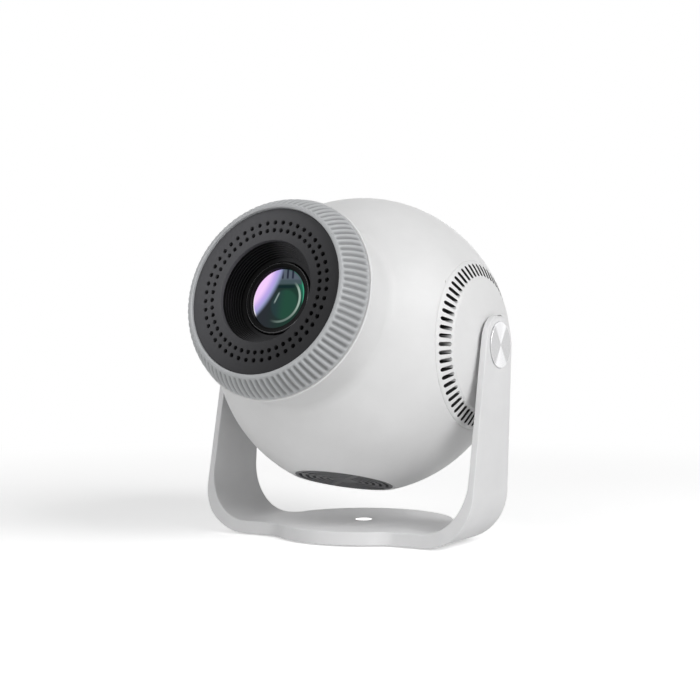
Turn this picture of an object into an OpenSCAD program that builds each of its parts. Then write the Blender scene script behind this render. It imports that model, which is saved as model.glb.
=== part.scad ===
// Ball-shaped video projector in a U-shaped desk bracket.
// Millimetres, +Z up, lens towards -Y, origin on the table below the tilt pivot.
// Head pieces are drawn in the head's own frame: x to the side, y up, z forward along the lens,
// with the origin at the pivot. in_head() puts them in the bracket at the rest tilt.

/* [Ball head] */
// Outer radius of the ball
ball_r = 70; // [68:0.5:78]
// Wall of the ball's shells
ball_wall = 3; // [2.4:0.1:3.6]
// Tilt of the lens above level at rest, degrees
tilt = 16; // [-25:1:60]
// Depth of the flat cut under the ball
bottom_cut = 4.4; // [3.6:0.1:5.6]
// Depth of the flat cut behind the ball
rear_cut = 7; // [6:0.5:9]
// Distance from the pivot back to the rear cover's joint
split_back = 34; // [31:1:37]

/* [Nose and focus ring] */
// Distance from the ball's front to the collar's front face
nose_len = 4.5; // [3.5:0.5:9]
// Outer radius of the collar
collar_r = 44; // [43.5:0.5:46]
// Wall of the collar
collar_wall = 3; // [2.6:0.1:3.4]
// Radius of the hollow fillet between ball and collar
collar_fillet = 7; // [4:0.5:12]
// Gap between collar and focus ring
ring_gap = 0.5; // [0.3:0.1:1]
// Length of the focus ring along the lens axis
ring_len = 12.2; // [10:0.2:16]
// Radius of the focus ring at its front edge
ring_front_r = 38.8; // [38.6:0.1:40.4]
// How far the ring widens from its front edge to its rear edge
ring_flare = 6.4; // [5.4:0.1:7.4]
// Rise of the ring's ribbed flank above a straight cone
ring_bulge = 0.9; // [0.4:0.1:1.6]
// Width of the plain bezel round the fascia
bezel_w = 2; // [1.8:0.1:2.4]
// Number of grip ribs
rib_count = 90; // [60:2:110]
// Width of a groove between ribs
groove_w = 1.5; // [0.8:0.1:1.8]
// Depth of a groove between ribs
groove_depth = 0.8; // [0.4:0.1:1.4]

/* [Fascia and lens well] */
// Depth of the fascia behind the ring's front edge
fascia_inset = 1.4; // [0.6:0.1:2.4]
// Thickness of the fascia
fascia_t = 2; // [1.4:0.1:3]
// Holes in each ring of the fascia
hole_count = 48; // [40:1:66]
// Radius of a fascia hole
hole_r = 1.05; // [0.6:0.05:1.1]
// Radius of the inner ring of holes
hole_ring_in = 27.2; // [26.6:0.1:28]
// Radius of the outer ring of holes
hole_ring_out = 30.7; // [30.2:0.1:32]
// Radius of the well's mouth
well_r = 22.7; // [21.5:0.1:24]
// Radius of the well's floor
well_floor_r = 18; // [17.2:0.1:20]
// Depth of the lens below the fascia
well_depth = 9.8; // [8:0.2:13]
// Steps in the well's wall
well_steps = 8; // [4:1:14]

/* [Lens] */
// Radius of the front lens
lens_r = 13.6; // [13.3:0.1:13.8]
// Radius of the glass inside the trim ring
glass_r = 13; // [11.5:0.1:13]
// Outer radius of the lens barrel
barrel_r = 15; // [15:0.1:15.4]
// Length of the lens barrel
barrel_len = 39; // [37:0.5:42]
// Thickness of the lens trim ring
trim_t = 1; // [0.6:0.1:1.6]
// Focus travel of the barrel each way
focus_travel = 2.5; // [1:0.1:2.6]

/* [Side covers] */
// Outer radius of a side cover
cover_r = 38.4; // [37.6:0.1:40]
// Slots in a side cover
slot_count = 60; // [40:2:72]
// Width of a slot
slot_w = 1.8; // [1.2:0.1:2.2]
// Radius where the slots start
slot_in = 31; // [30:0.1:33]
// Radius where the slots end
slot_out = 37; // [35.4:0.1:37.2]
// Depth of the pivot face below the ball's surface
hub_inset = 3.1; // [2.6:0.1:4]
// Radius of the boss that takes the pivot bolt
hub_r = 9; // [7.5:0.5:10.5]

/* [Bracket] */
// Height of the tilt pivot above the table
pivot_h = 90; // [86:1:110]
// Thickness of the friction washer between head and arm
washer_t = 1.3; // [0.8:0.1:2]
// Thickness of an arm at the pivot
arm_t = 3.1; // [2.9:0.1:4.5]
// Thickness of an arm above the foot
arm_foot_t = 5.8; // [5.2:0.1:6.6]
// Radius of an arm's round end
arm_end_r = 13.6; // [13:0.1:16]
// Reach of an arm in front of the pivot, at the foot
arm_front = 31.5; // [26:0.5:36]
// Reach of an arm behind the pivot, at the foot
arm_rear = 6.5; // [5:0.5:10]
// Thickness of the base
base_t = 6.2; // [5.6:0.1:9]
// Radius of the base disc
disc_r = 43; // [40.5:0.5:44.5]
// Outer radius of the bend from base to arm
bend_r = 23; // [18:0.5:24.5]
// Radius of the hollow blends beside the base disc, in front of the arms
front_blend_r = 14; // [8:0.5:18]
// Radius of the hollow blends beside the base disc, behind the arms
rear_blend_r = 5; // [3:0.5:7]
// Radius of a pivot cap
cap_r = 10.4; // [9.5:0.1:11.5]
// Thickness of a pivot cap
cap_t = 1.2; // [0.8:0.1:1.6]
// Radius of the rubber foot pad
pad_r = 37; // [30:0.5:39]
// Thickness of the rubber foot pad
pad_t = 1.2; // [1:0.1:1.6]
// Radius of the tripod thread
tripod_r = 3.175; // [3.175, 4.763]

/* [Light engine] */
// Width of the engine housing
engine_w = 66; // [62:1:68]
// Height of the engine housing
engine_h = 52; // [50:1:54]
// Length of the engine housing
engine_len = 55.6; // [54:0.2:58]
// Wall of the engine housing
engine_wall = 2; // [1.6:0.1:2.6]
// Distance of the LCD panel behind the housing's front
lcd_back = 22; // [20:0.5:24]
// Distance of the Fresnel lenses from the LCD panel
fresnel_gap = 8; // [6:0.5:9]
// Number of heat sink fins
fin_count = 9; // [6:1:12]
// Length of the heat sink fins
fin_len = 18.4; // [14:0.2:19]
// Side of the square fan frame
fan_side = 40; // [36:1:40]
// Depth of the fan frame
fan_t = 10; // [9:0.5:10.5]
// Fan blades
blade_count = 7; // [5:1:9]

/* [Boards and ports] */
// Width of the main board
board_w = 66; // [60:1:68]
// Length of the main board
board_len = 56; // [50:1:57]
// Drop of the main board below the chassis plate
board_drop = 6; // [5:0.5:7]
// Radius of the port panel
panel_r = 29; // [28.6:0.1:29.2]
// Radius of the power button
button_r = 5; // [4:0.1:5.4]
// Travel of the power button
button_travel = 0.8; // [0.4:0.1:1]
// Radius of the speaker
speaker_r = 20; // [17:0.5:20.4]

/* [Hidden] */
$fn = 96;

// Clearances, soft edges and the reach of a cut past the face it opens
fit_gap = 0.1;
run_gap = 0.05;
clear_gap = 0.3;
soft_edge = 0.4;
beyond = 1;

// Screws
screw_r = 1.5;
screw_head_r = 2.8;
screw_head_t = 2;
screw_hole_r = screw_r + fit_gap;
screw_boss_wall = 2.2;
screw_boss_r = screw_head_r + screw_boss_wall;
screw_bite = 7;
small_screw_r = 1;
small_head_r = 1.5;
small_head_t = 0.6;
small_screw_len = 3.5;

// Ball
cavity_r = ball_r - ball_wall;
boss_skin = 1;
boss_reach_r = ball_r - boss_skin;
bottom_y = -(ball_r - bottom_cut);
port_flat = -(ball_r - rear_cut);
split_d = -split_back;
flat_wall = 3;

// Nose
nose_d = ball_r + nose_len;
collar_bore = collar_r - collar_wall;
rim_w = 1;
rim_len = 1.4;
ring_rear = nose_d + ring_gap;
ring_front = ring_rear + ring_len;
rib_head = 1;
rib_tail = 1.2;
lip_r = ring_front_r - bezel_w;
fascia_front = ring_front - fascia_inset;
fascia_rear = fascia_front - fascia_t;
fascia_r = lip_r - fit_gap;

// Focus sleeve
sleeve_r = collar_bore - run_gap;
lip_overhang = 1.7;
neck_r = lip_r + lip_overhang;
neck_wall = 2.2;
tube_wall = 2.35;
seat_margin = 3;
seat_flange_r = hole_ring_out + seat_margin;
seat_flange_t = 1.8;
shoulder_w = 1.15;
tail_r = sleeve_r - shoulder_w;
retainer_grip = 2.45;
retainer_r = sleeve_r + retainer_grip;
retainer_t = 2.8;
retainer_gap = 0.4;
shoulder_d = sqrt(pow(cavity_r - retainer_gap, 2) - pow(retainer_r, 2));
sleeve_tail = shoulder_d - retainer_t;
hood_len = 17.8;
web_front = fascia_rear - hood_len;
web_t = 2;
key_hub_len = 6;
key_hub_wall = 4.5;
key_hub_r = barrel_r + key_hub_wall;
key_count = 3;
key_w = 2;
key_depth = 0.8;

// Lens and well
lens_front = fascia_front - well_depth;
barrel_front = lens_front - trim_t;
barrel_rear = barrel_front - barrel_len;
trim_overhang = 0.5;
trim_r = barrel_r + trim_overhang;
trim_edge = 0.3;
lens_rise = 0.8;
well_floor = lens_front - lens_rise;
well_floor_t = 1.6;
hood_wall = 1.8;
trim_clear = 0.7;
hood_aperture = trim_r + trim_clear;
barrel_bore = 11.8;
lens_seat = 4;
front_dome_r = 30;
front_lens_set = 0.2;
middle_lens_t = 6;
middle_dome_r = 36;
middle_waist = 1.6;
rear_step_w = 1;
rear_bore = barrel_bore + rear_step_w;
rear_seat = 7;
rear_dome_r = 28;
rear_lens_set = 0.5;

// Engine, midway between the focus sleeve's tail and the port board
board_t = 1.6;
port_depth = 14;
port_board_face = port_flat + port_depth;
sink_base_t = 4;
engine_stack = engine_len + sink_base_t + fin_len;
engine_front = (sleeve_tail + port_board_face + board_t + engine_stack) / 2;
engine_rear = engine_front - engine_len;
engine_side = engine_w / 2;
engine_bottom = -engine_h / 2;
front_wall = 2.5;
barrel_clear = 0.6;
mount_tube_wall = 3;
tube_r = barrel_r + run_gap + mount_tube_wall;
tube_clear = 2;
tube_front = web_front - key_hub_len - tube_clear;
mount_t = 3;
mount_screw_x = 22;
mount_screw_y = 18;
mount_edge = 4;
mount_bite = 2;
mount_screw_len = mount_t + mount_bite;
lcd_d = engine_front - lcd_back;
lcd_t = 3;
fresnel_t = 2;
plate_h = engine_h - 2 * (engine_wall + fit_gap);
plate_w = engine_w - 2 * (engine_wall + fit_gap);
condenser_gap = 18;
condenser_back = lcd_d - fresnel_gap - condenser_gap;
condenser_rim_t = 3;
condenser_rim_w = 3;
condenser_h = 11;
condenser_dome_r = 40;
led_side = 36;
led_t = 1.6;
led_dome_r = 8;
led_dome_t = 2.6;
sink_margin = 2;
sink_h = engine_h - 2 * sink_margin;
fin_t = 1.4;
sink_rear = engine_rear - sink_base_t - fin_len;

// Fan
fan_room = 3.7;
fan_corner = [engine_side + fan_t, fan_side / 2];
fan_d = fan_side / 2 - sqrt(pow(cavity_r - fan_room, 2) - fan_corner * fan_corner);
fan_rim = 1;
fan_bore_r = fan_side / 2 - fan_rim;
fan_hole_inset = 4;
fan_hole_r = 1.6;
fan_strut_t = 1.6;
fan_strut_w = 2;
fan_motor_r = 9;
fan_boss_r = 3;
fan_boss_h = 5;
shaft_r = 1.5;
shaft_set = 0.6;
rotor_r = 8.5;
rotor_wall = 1.2;
rotor_lid_t = 1.4;
rotor_clear = 0.6;
rotor_low = engine_side + fan_strut_t + rotor_clear;
rotor_high = engine_side + fan_t - rotor_clear;
tip_clear = 0.8;
blade_tip_r = fan_bore_r - tip_clear;
blade_t = 1.2;
blade_chord = 18;
blade_pitch = 38;

// Chassis plate and main board
chassis_t = 2;
chassis_bottom = engine_bottom - chassis_t;
post_x = 40;
post_r = 4;
post_span = 18;
post_back = 40;
post_mid = engine_front - post_back;
post_bite = 9;
board_top = chassis_bottom - board_drop;
board_back = 43;
board_mid = engine_front - board_back;
chassis_front = post_mid + post_span + post_r;
chassis_rear = board_mid - board_len / 2;
board_post_r = 3;
board_post_inset = 4;
chips = [[-14, -8, 16, 16, 2.4], [10, -4, 12, 10, 1.8], [8, 12, 9, 9, 1.6]];
capacitor_places = [[-24, 16], [-18, 16]];
capacitor_r = 2.5;
capacitor_h = 5;
ribbon_w = 30;
ribbon_t = 0.4;
ribbon_slot = 1.2;

// Side covers and pivots
hub_face = ball_r - hub_inset;
washer_r = 11;
washer_margin = 0.6;
hub_flat_r = washer_r + washer_margin;
slot_land = 0.7;
dome_edge = slot_in - slot_land;
flange_t = 2.6;
cover_back_r = cavity_r - flange_t;
flange_w = 3;
cover_flange_r = cover_r + flange_w;
opening_in = ball_r / 2;
bolt_r = 4;
bolt_head_r = 7;
bolt_thread_r = 2.5;
bolt_bite = 12.9;
bolt_tip = hub_face - bolt_bite;
hub_floor = 3;
hub_in = bolt_tip - hub_floor;
arm_in = hub_face + washer_t + fit_gap;
arm_out = arm_in + arm_t;
cap_sink = 0.5;
head_sink = 1.8;
head_clear = 1;
head_room_r = bolt_head_r + head_clear;

// Bracket
pad_proud = 0.6;
base_bottom = pad_proud;
base_top = base_bottom + base_t;
disc_seam_angle = 88;
bend_step = 5;
bend_in_r = bend_r - bend_step;
knee_z = 10;
taper_drop = 52;
taper_z = pivot_h - taper_drop;
insert_wall = 0.7;
insert_r = tripod_r + insert_wall;
insert_cap_t = 1.2;
insert_flange_w = 2.6;
insert_flange_r = insert_r + insert_flange_w;
insert_flange_t = 1;

// Rear ports
panel_t = 1.5;
panel_screw_inset = 1.7;
panel_screw_x = panel_r - panel_screw_inset;
panel_seat_w = 3;
port_hole_r = panel_r - panel_seat_w;
port_board_w = 56;
port_board_h = 30;
port_post_r = 2.8;
port_post_inset = 1.4;
port_post_x = port_hole_r - port_post_inset;
port_post_edge = 3;
port_post_y = port_board_h / 2 - port_post_edge;
port_set = 0.6;
port_front = port_flat + port_set;
hdmi_at = [-12, 2];
hdmi_size = [15, 5.6];
hdmi_wall = 0.5;
hdmi_floor = 3;
hdmi_tongue = [11, 1.2];
usb_at = [9, 2];
usb_size = [13.2, 5.8];
usb_wall = 0.4;
usb_floor = 2;
usb_tongue = [10.8, 1.8];
usb_tongue_lift = 1;
tongue_set = 1;
audio_at = [-9, -9];
audio_r = 3.1;
audio_bore_r = 1.8;
dc_at = [8, -9];
dc_r = 4.3;
dc_bore_r = 3.1;
dc_pin_r = 1;
jack_floor = 2;
button_at = [0, 13];
button_proud = 0.8;
button_flange_w = 1.4;
button_stem_r = 1.8;
switch_w = 6;
switch_h = 4;
switch_t = 3.5;
switch_pin_r = 1.6;
switch_pin_len = 1;
switch_tip = port_board_face - switch_t - switch_pin_len;
cover_screw_inset = 15;
cover_screw_r = ball_r - cover_screw_inset;
cover_screw_angles = [60, 120, 240, 300];
cover_seat_t = 3;
cover_seat = split_d - cover_seat_t;
boss_floor = 3;
cover_boss_len = screw_bite + boss_floor;

// Speaker and bottom grille
grille_r = 22.9;
grille_t = 2.4;
grille_wall = 1.6;
speaker_lift = 5.6;
speaker_seat = bottom_y + speaker_lift;
speaker_ledge = 1.2;
speaker_rim_w = 2.4;
speaker_rim_t = 1.6;
speaker_cone_w = 7;
surround_w = 0.6;
dust_cap_lift = 1.2;
basket_step = 0.2;
magnet_in = 7;
magnet_out = 12;
grille_ring_r = 7.7;
ring_slot_w = 1.6;
ring_slot_pitch = 3.2;
ring_slots = 5;
spoke_w = 2.4;
spoke_angles = [45, 135];

// Points along an arc of radius r round c, from angle a0 to a1
function arc(c, r, a0, a1, n = 12) =
    [for (i = [0:n]) c + r * [cos(a0 + (a1 - a0) * i / n), sin(a0 + (a1 - a0) * i / n)]];

// The same outline on the other side of the y axis, in reverse order
function mirrored(points) =
    [for (i = [len(points) - 1:-1:0]) [-points[i][0], points[i][1]]];

// Points on the arc of the focus ring's flank, sunk by inset, with t from 0 in front to 1 at the rear
function ring_flank(inset, t0, t1, n) =
    let (chord = norm([ring_flare, ring_len]),
        outward = atan2(ring_flare, ring_len),
        r = (chord * chord / 4 + ring_bulge * ring_bulge) / (2 * ring_bulge),
        middle = [ring_front_r + ring_flare / 2, (ring_front + ring_rear) / 2],
        centre = middle - (r - ring_bulge) * [cos(outward), sin(outward)],
        half = asin(chord / 2 / r))
    [for (i = [0:n]) let (a = outward + half * (1 - 2 * (t0 + (t1 - t0) * i / n)))
        centre + (r - inset) * [cos(a), sin(a)]];

// Height of the centre of the arc through two profile points [r, z], with the centre on the axis
function axis_centre(p, q) = (q * q - p * p) / (2 * (q[1] - p[1]));

module in_head() translate([0, 0, pivot_h]) rotate([90 - tilt, 0, 0]) children();

// Turns local z to the side: +X for side 1, -X for side -1
module to_side(side) rotate([0, 90 * side, 0]) children();

// Turns local z to the head's up direction
module to_up() rotate([-90, 0, 0]) children();

module ring(r_in, r_out, z0, z1) rotate_extrude() translate([r_in, z0]) square([r_out - r_in, z1 - z0]);

module disc(r, z0, z1) translate([0, 0, z0]) cylinder(r = r, h = z1 - z0);

// A block centred on x and y, from z0 to z1
module block(w, h, z0, z1) translate([-w / 2, -h / 2, z0]) cube([w, h, z1 - z0]);

// A block that holds everything of the ball below height z
module half_space_below(z) block(4 * ball_r, 4 * ball_r, z - 4 * ball_r, z);

// A slot with round ends along x, from radius r0 to r1
module slot_2d(r0, r1, w) {
    translate([r0 + w / 2, -w / 2]) square([r1 - r0 - w, w]);
    for (r = [r0 + w / 2, r1 - w / 2]) translate([r, 0]) circle(w / 2, $fn = 24);
}

// A cap screw along z with its head's seat at z = 0 and its shank towards +z
module screw(len, shank_r = screw_r, head_r = screw_head_r, head_t = screw_head_t) {
    translate([0, 0, -head_t]) cylinder(r = head_r, h = head_t);
    cylinder(r = shank_r, h = len);
}

// The four corners at x and y either side of the axis
module corners(x, y) for (i = [-1, 1], j = [-1, 1]) translate([i * x, j * y, 0]) children();

module cover_screw_places() for (a = cover_screw_angles)
    translate([cover_screw_r * cos(a), cover_screw_r * sin(a), 0]) children();

module chassis_post_places() for (x = [-post_x, post_x], d = [-post_span, post_span])
    translate([x, 0, post_mid + d]) children();

module board_post_places() for (x = [-1, 1], d = [-1, 1])
    translate([x * (board_w / 2 - board_post_inset), 0, board_mid + d * (board_len / 2 - board_post_inset)])
        children();

module mount_screw_places() corners(mount_screw_x, mount_screw_y) children();

module port_post_places() corners(port_post_x, port_post_y) children();

module panel_screw_places() for (s = [-1, 1]) translate([s * panel_screw_x, 0, 0]) children();

module at_port(place) translate([place[0], place[1], 0]) children();

// Bracket

function u_half() = concat(
    arc([arm_out - bend_r, base_bottom + bend_r], bend_r, -90, 0),
    [[arm_out, pivot_h + arm_end_r + beyond], [arm_in, pivot_h + arm_end_r + beyond], [arm_in, taper_z]],
    arc([arm_out - arm_foot_t - bend_in_r, base_top + bend_in_r], bend_in_r, 0, -90));

// An arm seen from the side, with straight edges that leave its round end at a tangent
module arm_outline() {
    front = [-arm_front, knee_z];
    rear = [arm_rear, base_bottom];
    pivot = [0, pivot_h];
    to_front = front - pivot;
    to_rear = rear - pivot;
    front_angle = 360 + atan2(to_front[1], to_front[0]) - acos(arm_end_r / norm(to_front));
    rear_angle = atan2(to_rear[1], to_rear[0]) + acos(arm_end_r / norm(to_rear));
    polygon(concat([rear], arc(pivot, arm_end_r, rear_angle, front_angle, 24),
        [front, [-arm_front, base_bottom]]));
}

// The base disc with hollow blends into the strip that carries the arms
module base_outline() {
    front_y = arm_front + front_blend_r;
    rear_y = arm_rear + rear_blend_r;
    front = [sqrt(pow(disc_r + front_blend_r, 2) - front_y * front_y), -front_y];
    rear = [sqrt(pow(disc_r + rear_blend_r, 2) - rear_y * rear_y), rear_y];
    front_angle = atan2(front[1], front[0]);
    rear_angle = atan2(rear[1], rear[0]);
    strip_x = arm_out - bend_r;
    half = concat(
        arc([0, 0], disc_r, -disc_seam_angle, front_angle, 10),
        arc(front, front_blend_r, front_angle + 180, 90, 8),
        [[strip_x, -arm_front], [strip_x, arm_rear]],
        arc(rear, rear_blend_r, -90, rear_angle - 180, 8),
        arc([0, 0], disc_r, rear_angle, disc_seam_angle, 14));
    polygon(concat(half, mirrored(half)));
}

module bracket_frame() color("#e6e6e6") difference() {
    u_depth = 2 * (arm_front + arm_rear + arm_end_r);
    u_width = 3 * arm_out;
    union() {
        intersection() {
            rotate([90, 0, 0]) linear_extrude(u_depth, center = true)
                polygon(concat(u_half(), mirrored(u_half())));
            rotate([90, 0, 90]) linear_extrude(u_width, center = true) arm_outline();
        }
        translate([0, 0, base_bottom]) linear_extrude(base_t) base_outline();
    }
    disc(pad_r + fit_gap, base_bottom - beyond, pad_t);
    disc(insert_flange_r + fit_gap, 0, pad_t + insert_flange_t);
    disc(insert_r + fit_gap, 0, base_top + beyond);
    for (side = [-1, 1]) translate([0, 0, pivot_h]) to_side(side) {
        disc(bolt_r, arm_in - beyond, arm_out + beyond);
        disc(head_room_r, arm_out - head_sink, arm_out + beyond);
        disc(cap_r + run_gap, arm_out - cap_sink, arm_out + beyond);
    }
}

module foot_pad() color("#3a3a3c") ring(insert_flange_r + clear_gap, pad_r, 0, pad_t);

module tripod_insert() color("#d8d8da") difference() {
    union() {
        disc(insert_flange_r, pad_t, pad_t + insert_flange_t);
        disc(insert_r, pad_proud, base_top);
    }
    disc(tripod_r, 0, base_top - insert_cap_t);
}

module pivot_cap(side) color("#c9cacc") translate([0, 0, pivot_h]) to_side(side) {
    seat = arm_out - cap_sink;
    face = seat + cap_t;
    rotate_extrude() polygon([
        [0, seat], [cap_r, seat], [cap_r, face - soft_edge], [cap_r - soft_edge, face], [0, face]]);
}

module pivot_cap_left() pivot_cap(-1);
module pivot_cap_right() pivot_cap(1);

module pivot_bolt(side) color("#8d8f93") in_head() to_side(side) {
    head_in = arm_out - head_sink + clear_gap;
    head_out = arm_out - cap_sink - clear_gap;
    shank_r = bolt_r - run_gap;
    rotate_extrude() polygon([
        [0, bolt_tip], [bolt_thread_r, bolt_tip], [bolt_thread_r, hub_face], [shank_r, hub_face],
        [shank_r, head_in], [bolt_head_r, head_in], [bolt_head_r, head_out], [0, head_out]]);
}

module pivot_bolt_left() pivot_bolt(-1);
module pivot_bolt_right() pivot_bolt(1);

module friction_washer(side) color("#4a4a4c") in_head() to_side(side)
    ring(bolt_r + clear_gap, washer_r, hub_face, hub_face + washer_t);

module friction_washer_left() friction_washer(-1);
module friction_washer_right() friction_washer(1);

// Ball head

// The collar with its hollow fillet on the ball and the raised rim behind the focus ring
module collar_blank() {
    q = collar_fillet;
    centre = [collar_r + q, sqrt(pow(ball_r + q, 2) - pow(collar_r + q, 2))];
    start = atan2(-centre[1], -centre[0]) + 360;
    root = centre * ((ball_r - clear_gap) / norm(centre));
    inner = collar_bore - beyond;
    rim_r = collar_r + rim_w;
    rim_back = nose_d - rim_len;
    rotate_extrude() polygon(concat(
        [[inner, shoulder_d], root], arc(centre, q, start - 2, 180),
        [[collar_r, rim_back - rim_w], [rim_r, rim_back], [rim_r, nose_d - soft_edge],
            [rim_r - soft_edge, nose_d], [inner, nose_d]]));
}

module side_openings() for (side = [-1, 1]) to_side(side)
    disc(cover_r + fit_gap, opening_in, ball_r + beyond);

module main_shell() color("#e9e9e9") in_head() difference() {
    union() {
        difference() {
            union() {
                sphere(ball_r);
                collar_blank();
            }
            sphere(cavity_r);
            disc(collar_bore, shoulder_d - beyond, nose_d + beyond);
            half_space_below(split_d);
            side_openings();
            to_up() half_space_below(bottom_y);
            to_up() disc(grille_r + fit_gap, -ball_r - beyond, -ball_r / 2);
        }
        intersection() {
            sphere(boss_reach_r);
            chassis_post_places() to_up() disc(post_r, -ball_r, chassis_bottom);
        }
        intersection() {
            sphere(boss_reach_r);
            cover_screw_places() disc(screw_boss_r, split_d, split_d + cover_boss_len);
        }
    }
    chassis_post_places() to_up() disc(screw_hole_r, chassis_bottom - post_bite, chassis_bottom + beyond);
    cover_screw_places() disc(screw_hole_r, split_d - beyond, split_d + screw_bite + beyond);
}

module rear_cover() color("#e9e9e9") in_head() difference() {
    union() {
        difference() {
            intersection() {
                sphere(ball_r);
                half_space_below(split_d);
            }
            difference() {
                sphere(cavity_r);
                half_space_below(port_flat + flat_wall);
            }
            half_space_below(port_flat);
            side_openings();
            disc(port_hole_r, port_flat - beyond, port_flat + flat_wall + beyond);
        }
        intersection() {
            sphere(boss_reach_r);
            cover_screw_places() disc(screw_boss_r, -ball_r, split_d);
        }
        port_post_places() disc(port_post_r, port_flat + panel_t, port_board_face);
    }
    disc(panel_r + fit_gap, port_flat - beyond, port_flat + panel_t);
    cover_screw_places() {
        disc(screw_hole_r, -ball_r, split_d + beyond);
        disc(screw_head_r + soft_edge, -ball_r, cover_seat);
    }
    panel_screw_places() disc(small_screw_r + fit_gap, port_flat, port_flat + flat_wall + beyond);
}

// A ball segment flattened to a shallow dome inside the slots, with a flange behind the shell
// that stays clear of the focus sleeve's retaining ring
module side_cover(side) color("#e4e4e5") in_head() difference() {
    edge = [dome_edge, sqrt(ball_r * ball_r - dome_edge * dome_edge)];
    dome_centre = axis_centre(edge, [hub_flat_r, hub_face]);
    dome_r = norm(edge - [0, dome_centre]);
    to_side(side) difference() {
        union() {
            difference() {
                union() {
                    intersection() {
                        sphere(ball_r);
                        translate([0, 0, dome_centre]) sphere(dome_r);
                        disc(cover_r, opening_in, hub_face);
                    }
                    intersection() {
                        sphere(cavity_r - fit_gap);
                        disc(cover_flange_r, opening_in, hub_face - beyond);
                    }
                }
                sphere(cover_back_r);
            }
            disc(hub_r, hub_in, hub_face - beyond);
        }
        disc(bolt_thread_r + run_gap, bolt_tip - beyond, hub_face + beyond);
        translate([0, 0, opening_in]) linear_extrude(ball_r) for (i = [0:slot_count - 1])
            rotate(360 * (i + 0.5) / slot_count) slot_2d(slot_in, slot_out, slot_w);
    }
    disc(retainer_r + clear_gap, sleeve_tail, shoulder_d + clear_gap);
}

module side_cover_left() side_cover(-1);
module side_cover_right() side_cover(1);

module bottom_grille() color("#8b8b8d") in_head() to_up() difference() {
    cup_top = speaker_seat + speaker_rim_t + soft_edge;
    union() {
        disc(grille_r, bottom_y, bottom_y + grille_t);
        intersection() {
            disc(grille_r + grille_wall, bottom_y + soft_edge, cup_top);
            sphere(cavity_r - fit_gap);
        }
    }
    disc(speaker_r + fit_gap, speaker_seat, cup_top + beyond);
    disc(speaker_r - speaker_ledge, bottom_y + grille_t, cup_top + beyond);
    for (i = [0:ring_slots - 1]) difference() {
        middle = grille_ring_r + i * ring_slot_pitch;
        ring(middle - ring_slot_w / 2, middle + ring_slot_w / 2,
            bottom_y - beyond, bottom_y + grille_t + beyond);
        for (a = spoke_angles) rotate(a)
            block(2 * ball_r, spoke_w, bottom_y - 2 * beyond, bottom_y + grille_t + 2 * beyond);
    }
}

// Focus ring, fascia and well

module focus_ring() color("#b4b5b7") in_head() difference() {
    bore = neck_r + fit_gap;
    floor = ring_flank(groove_depth, rib_head / ring_len, 1 - rib_tail / ring_len, 6);
    first = floor[0];
    last = floor[len(floor) - 1];
    rear_r = ring_front_r + ring_flare;
    far_r = rear_r + beyond;
    rotate_extrude() polygon(concat(
        [[bore, ring_rear], [bore, fascia_rear], [lip_r, fascia_rear], [lip_r, ring_front - soft_edge],
            [lip_r + soft_edge, ring_front]],
        ring_flank(0, 0, 1, 8)));
    for (i = [0:rib_count - 1]) rotate(360 * i / rib_count)
        rotate_extrude(angle = groove_w / rear_r * 180 / PI)
            polygon(concat(floor,
                [[far_r, last[1]], [far_r, ring_front + beyond], [first[0], ring_front + beyond]]));
}

// A tube in the collar, stepped down to a neck for the ring, with a web and a keyed hub round the barrel
module focus_sleeve() color("#2b2b2d") in_head() {
    key_bore = barrel_r + run_gap;
    neck_in = neck_r - neck_wall;
    tube_in = sleeve_r - tube_wall;
    flange_back = fascia_rear - seat_flange_t;
    web_back = web_front - web_t;
    hub_back = web_front - key_hub_len;
    rotate_extrude() polygon([
        [sleeve_r, shoulder_d], [sleeve_r, ring_rear], [neck_r, ring_rear], [neck_r, fascia_rear],
        [seat_flange_r, fascia_rear], [seat_flange_r, flange_back], [neck_in, flange_back],
        [neck_in, web_front], [key_bore, web_front], [key_bore, hub_back], [key_hub_r, hub_back],
        [key_hub_r, web_back], [tube_in, web_back], [tube_in, sleeve_tail], [tail_r, sleeve_tail],
        [tail_r, shoulder_d]]);
    for (i = [0:key_count - 1]) rotate(360 * i / key_count)
        translate([barrel_r - key_depth, -key_w / 2, hub_back])
            cube([key_depth + beyond, key_w, key_hub_len]);
}

module sleeve_retainer() color("#6f7073") in_head()
    ring(tail_r + run_gap, retainer_r, sleeve_tail + clear_gap, shoulder_d);

module fascia() color("#3b3b3d") in_head() translate([0, 0, fascia_rear]) linear_extrude(fascia_t)
    difference() {
        circle(fascia_r);
        circle(well_r);
        for (i = [0:hole_count - 1], r = [hole_ring_in, hole_ring_out])
            rotate(360 * i / hole_count) translate([r, 0]) circle(hole_r, $fn = 24);
    }

module lens_well() color("#141416") in_head() {
    outer = well_r + hood_wall;
    drop = (fascia_rear - well_floor) / well_steps;
    narrow = (well_r - well_floor_r) / well_steps;
    floor_back = well_floor - well_floor_t;
    rotate_extrude() polygon(concat(
        [[outer, web_front], [outer, fascia_rear]],
        [for (i = [0:well_steps - 1], j = [0, 1]) [well_r - i * narrow, fascia_rear - (i + j) * drop]],
        [[hood_aperture, well_floor], [hood_aperture, floor_back], [well_r, floor_back],
            [well_r, web_front]]));
}

// Lens

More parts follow.
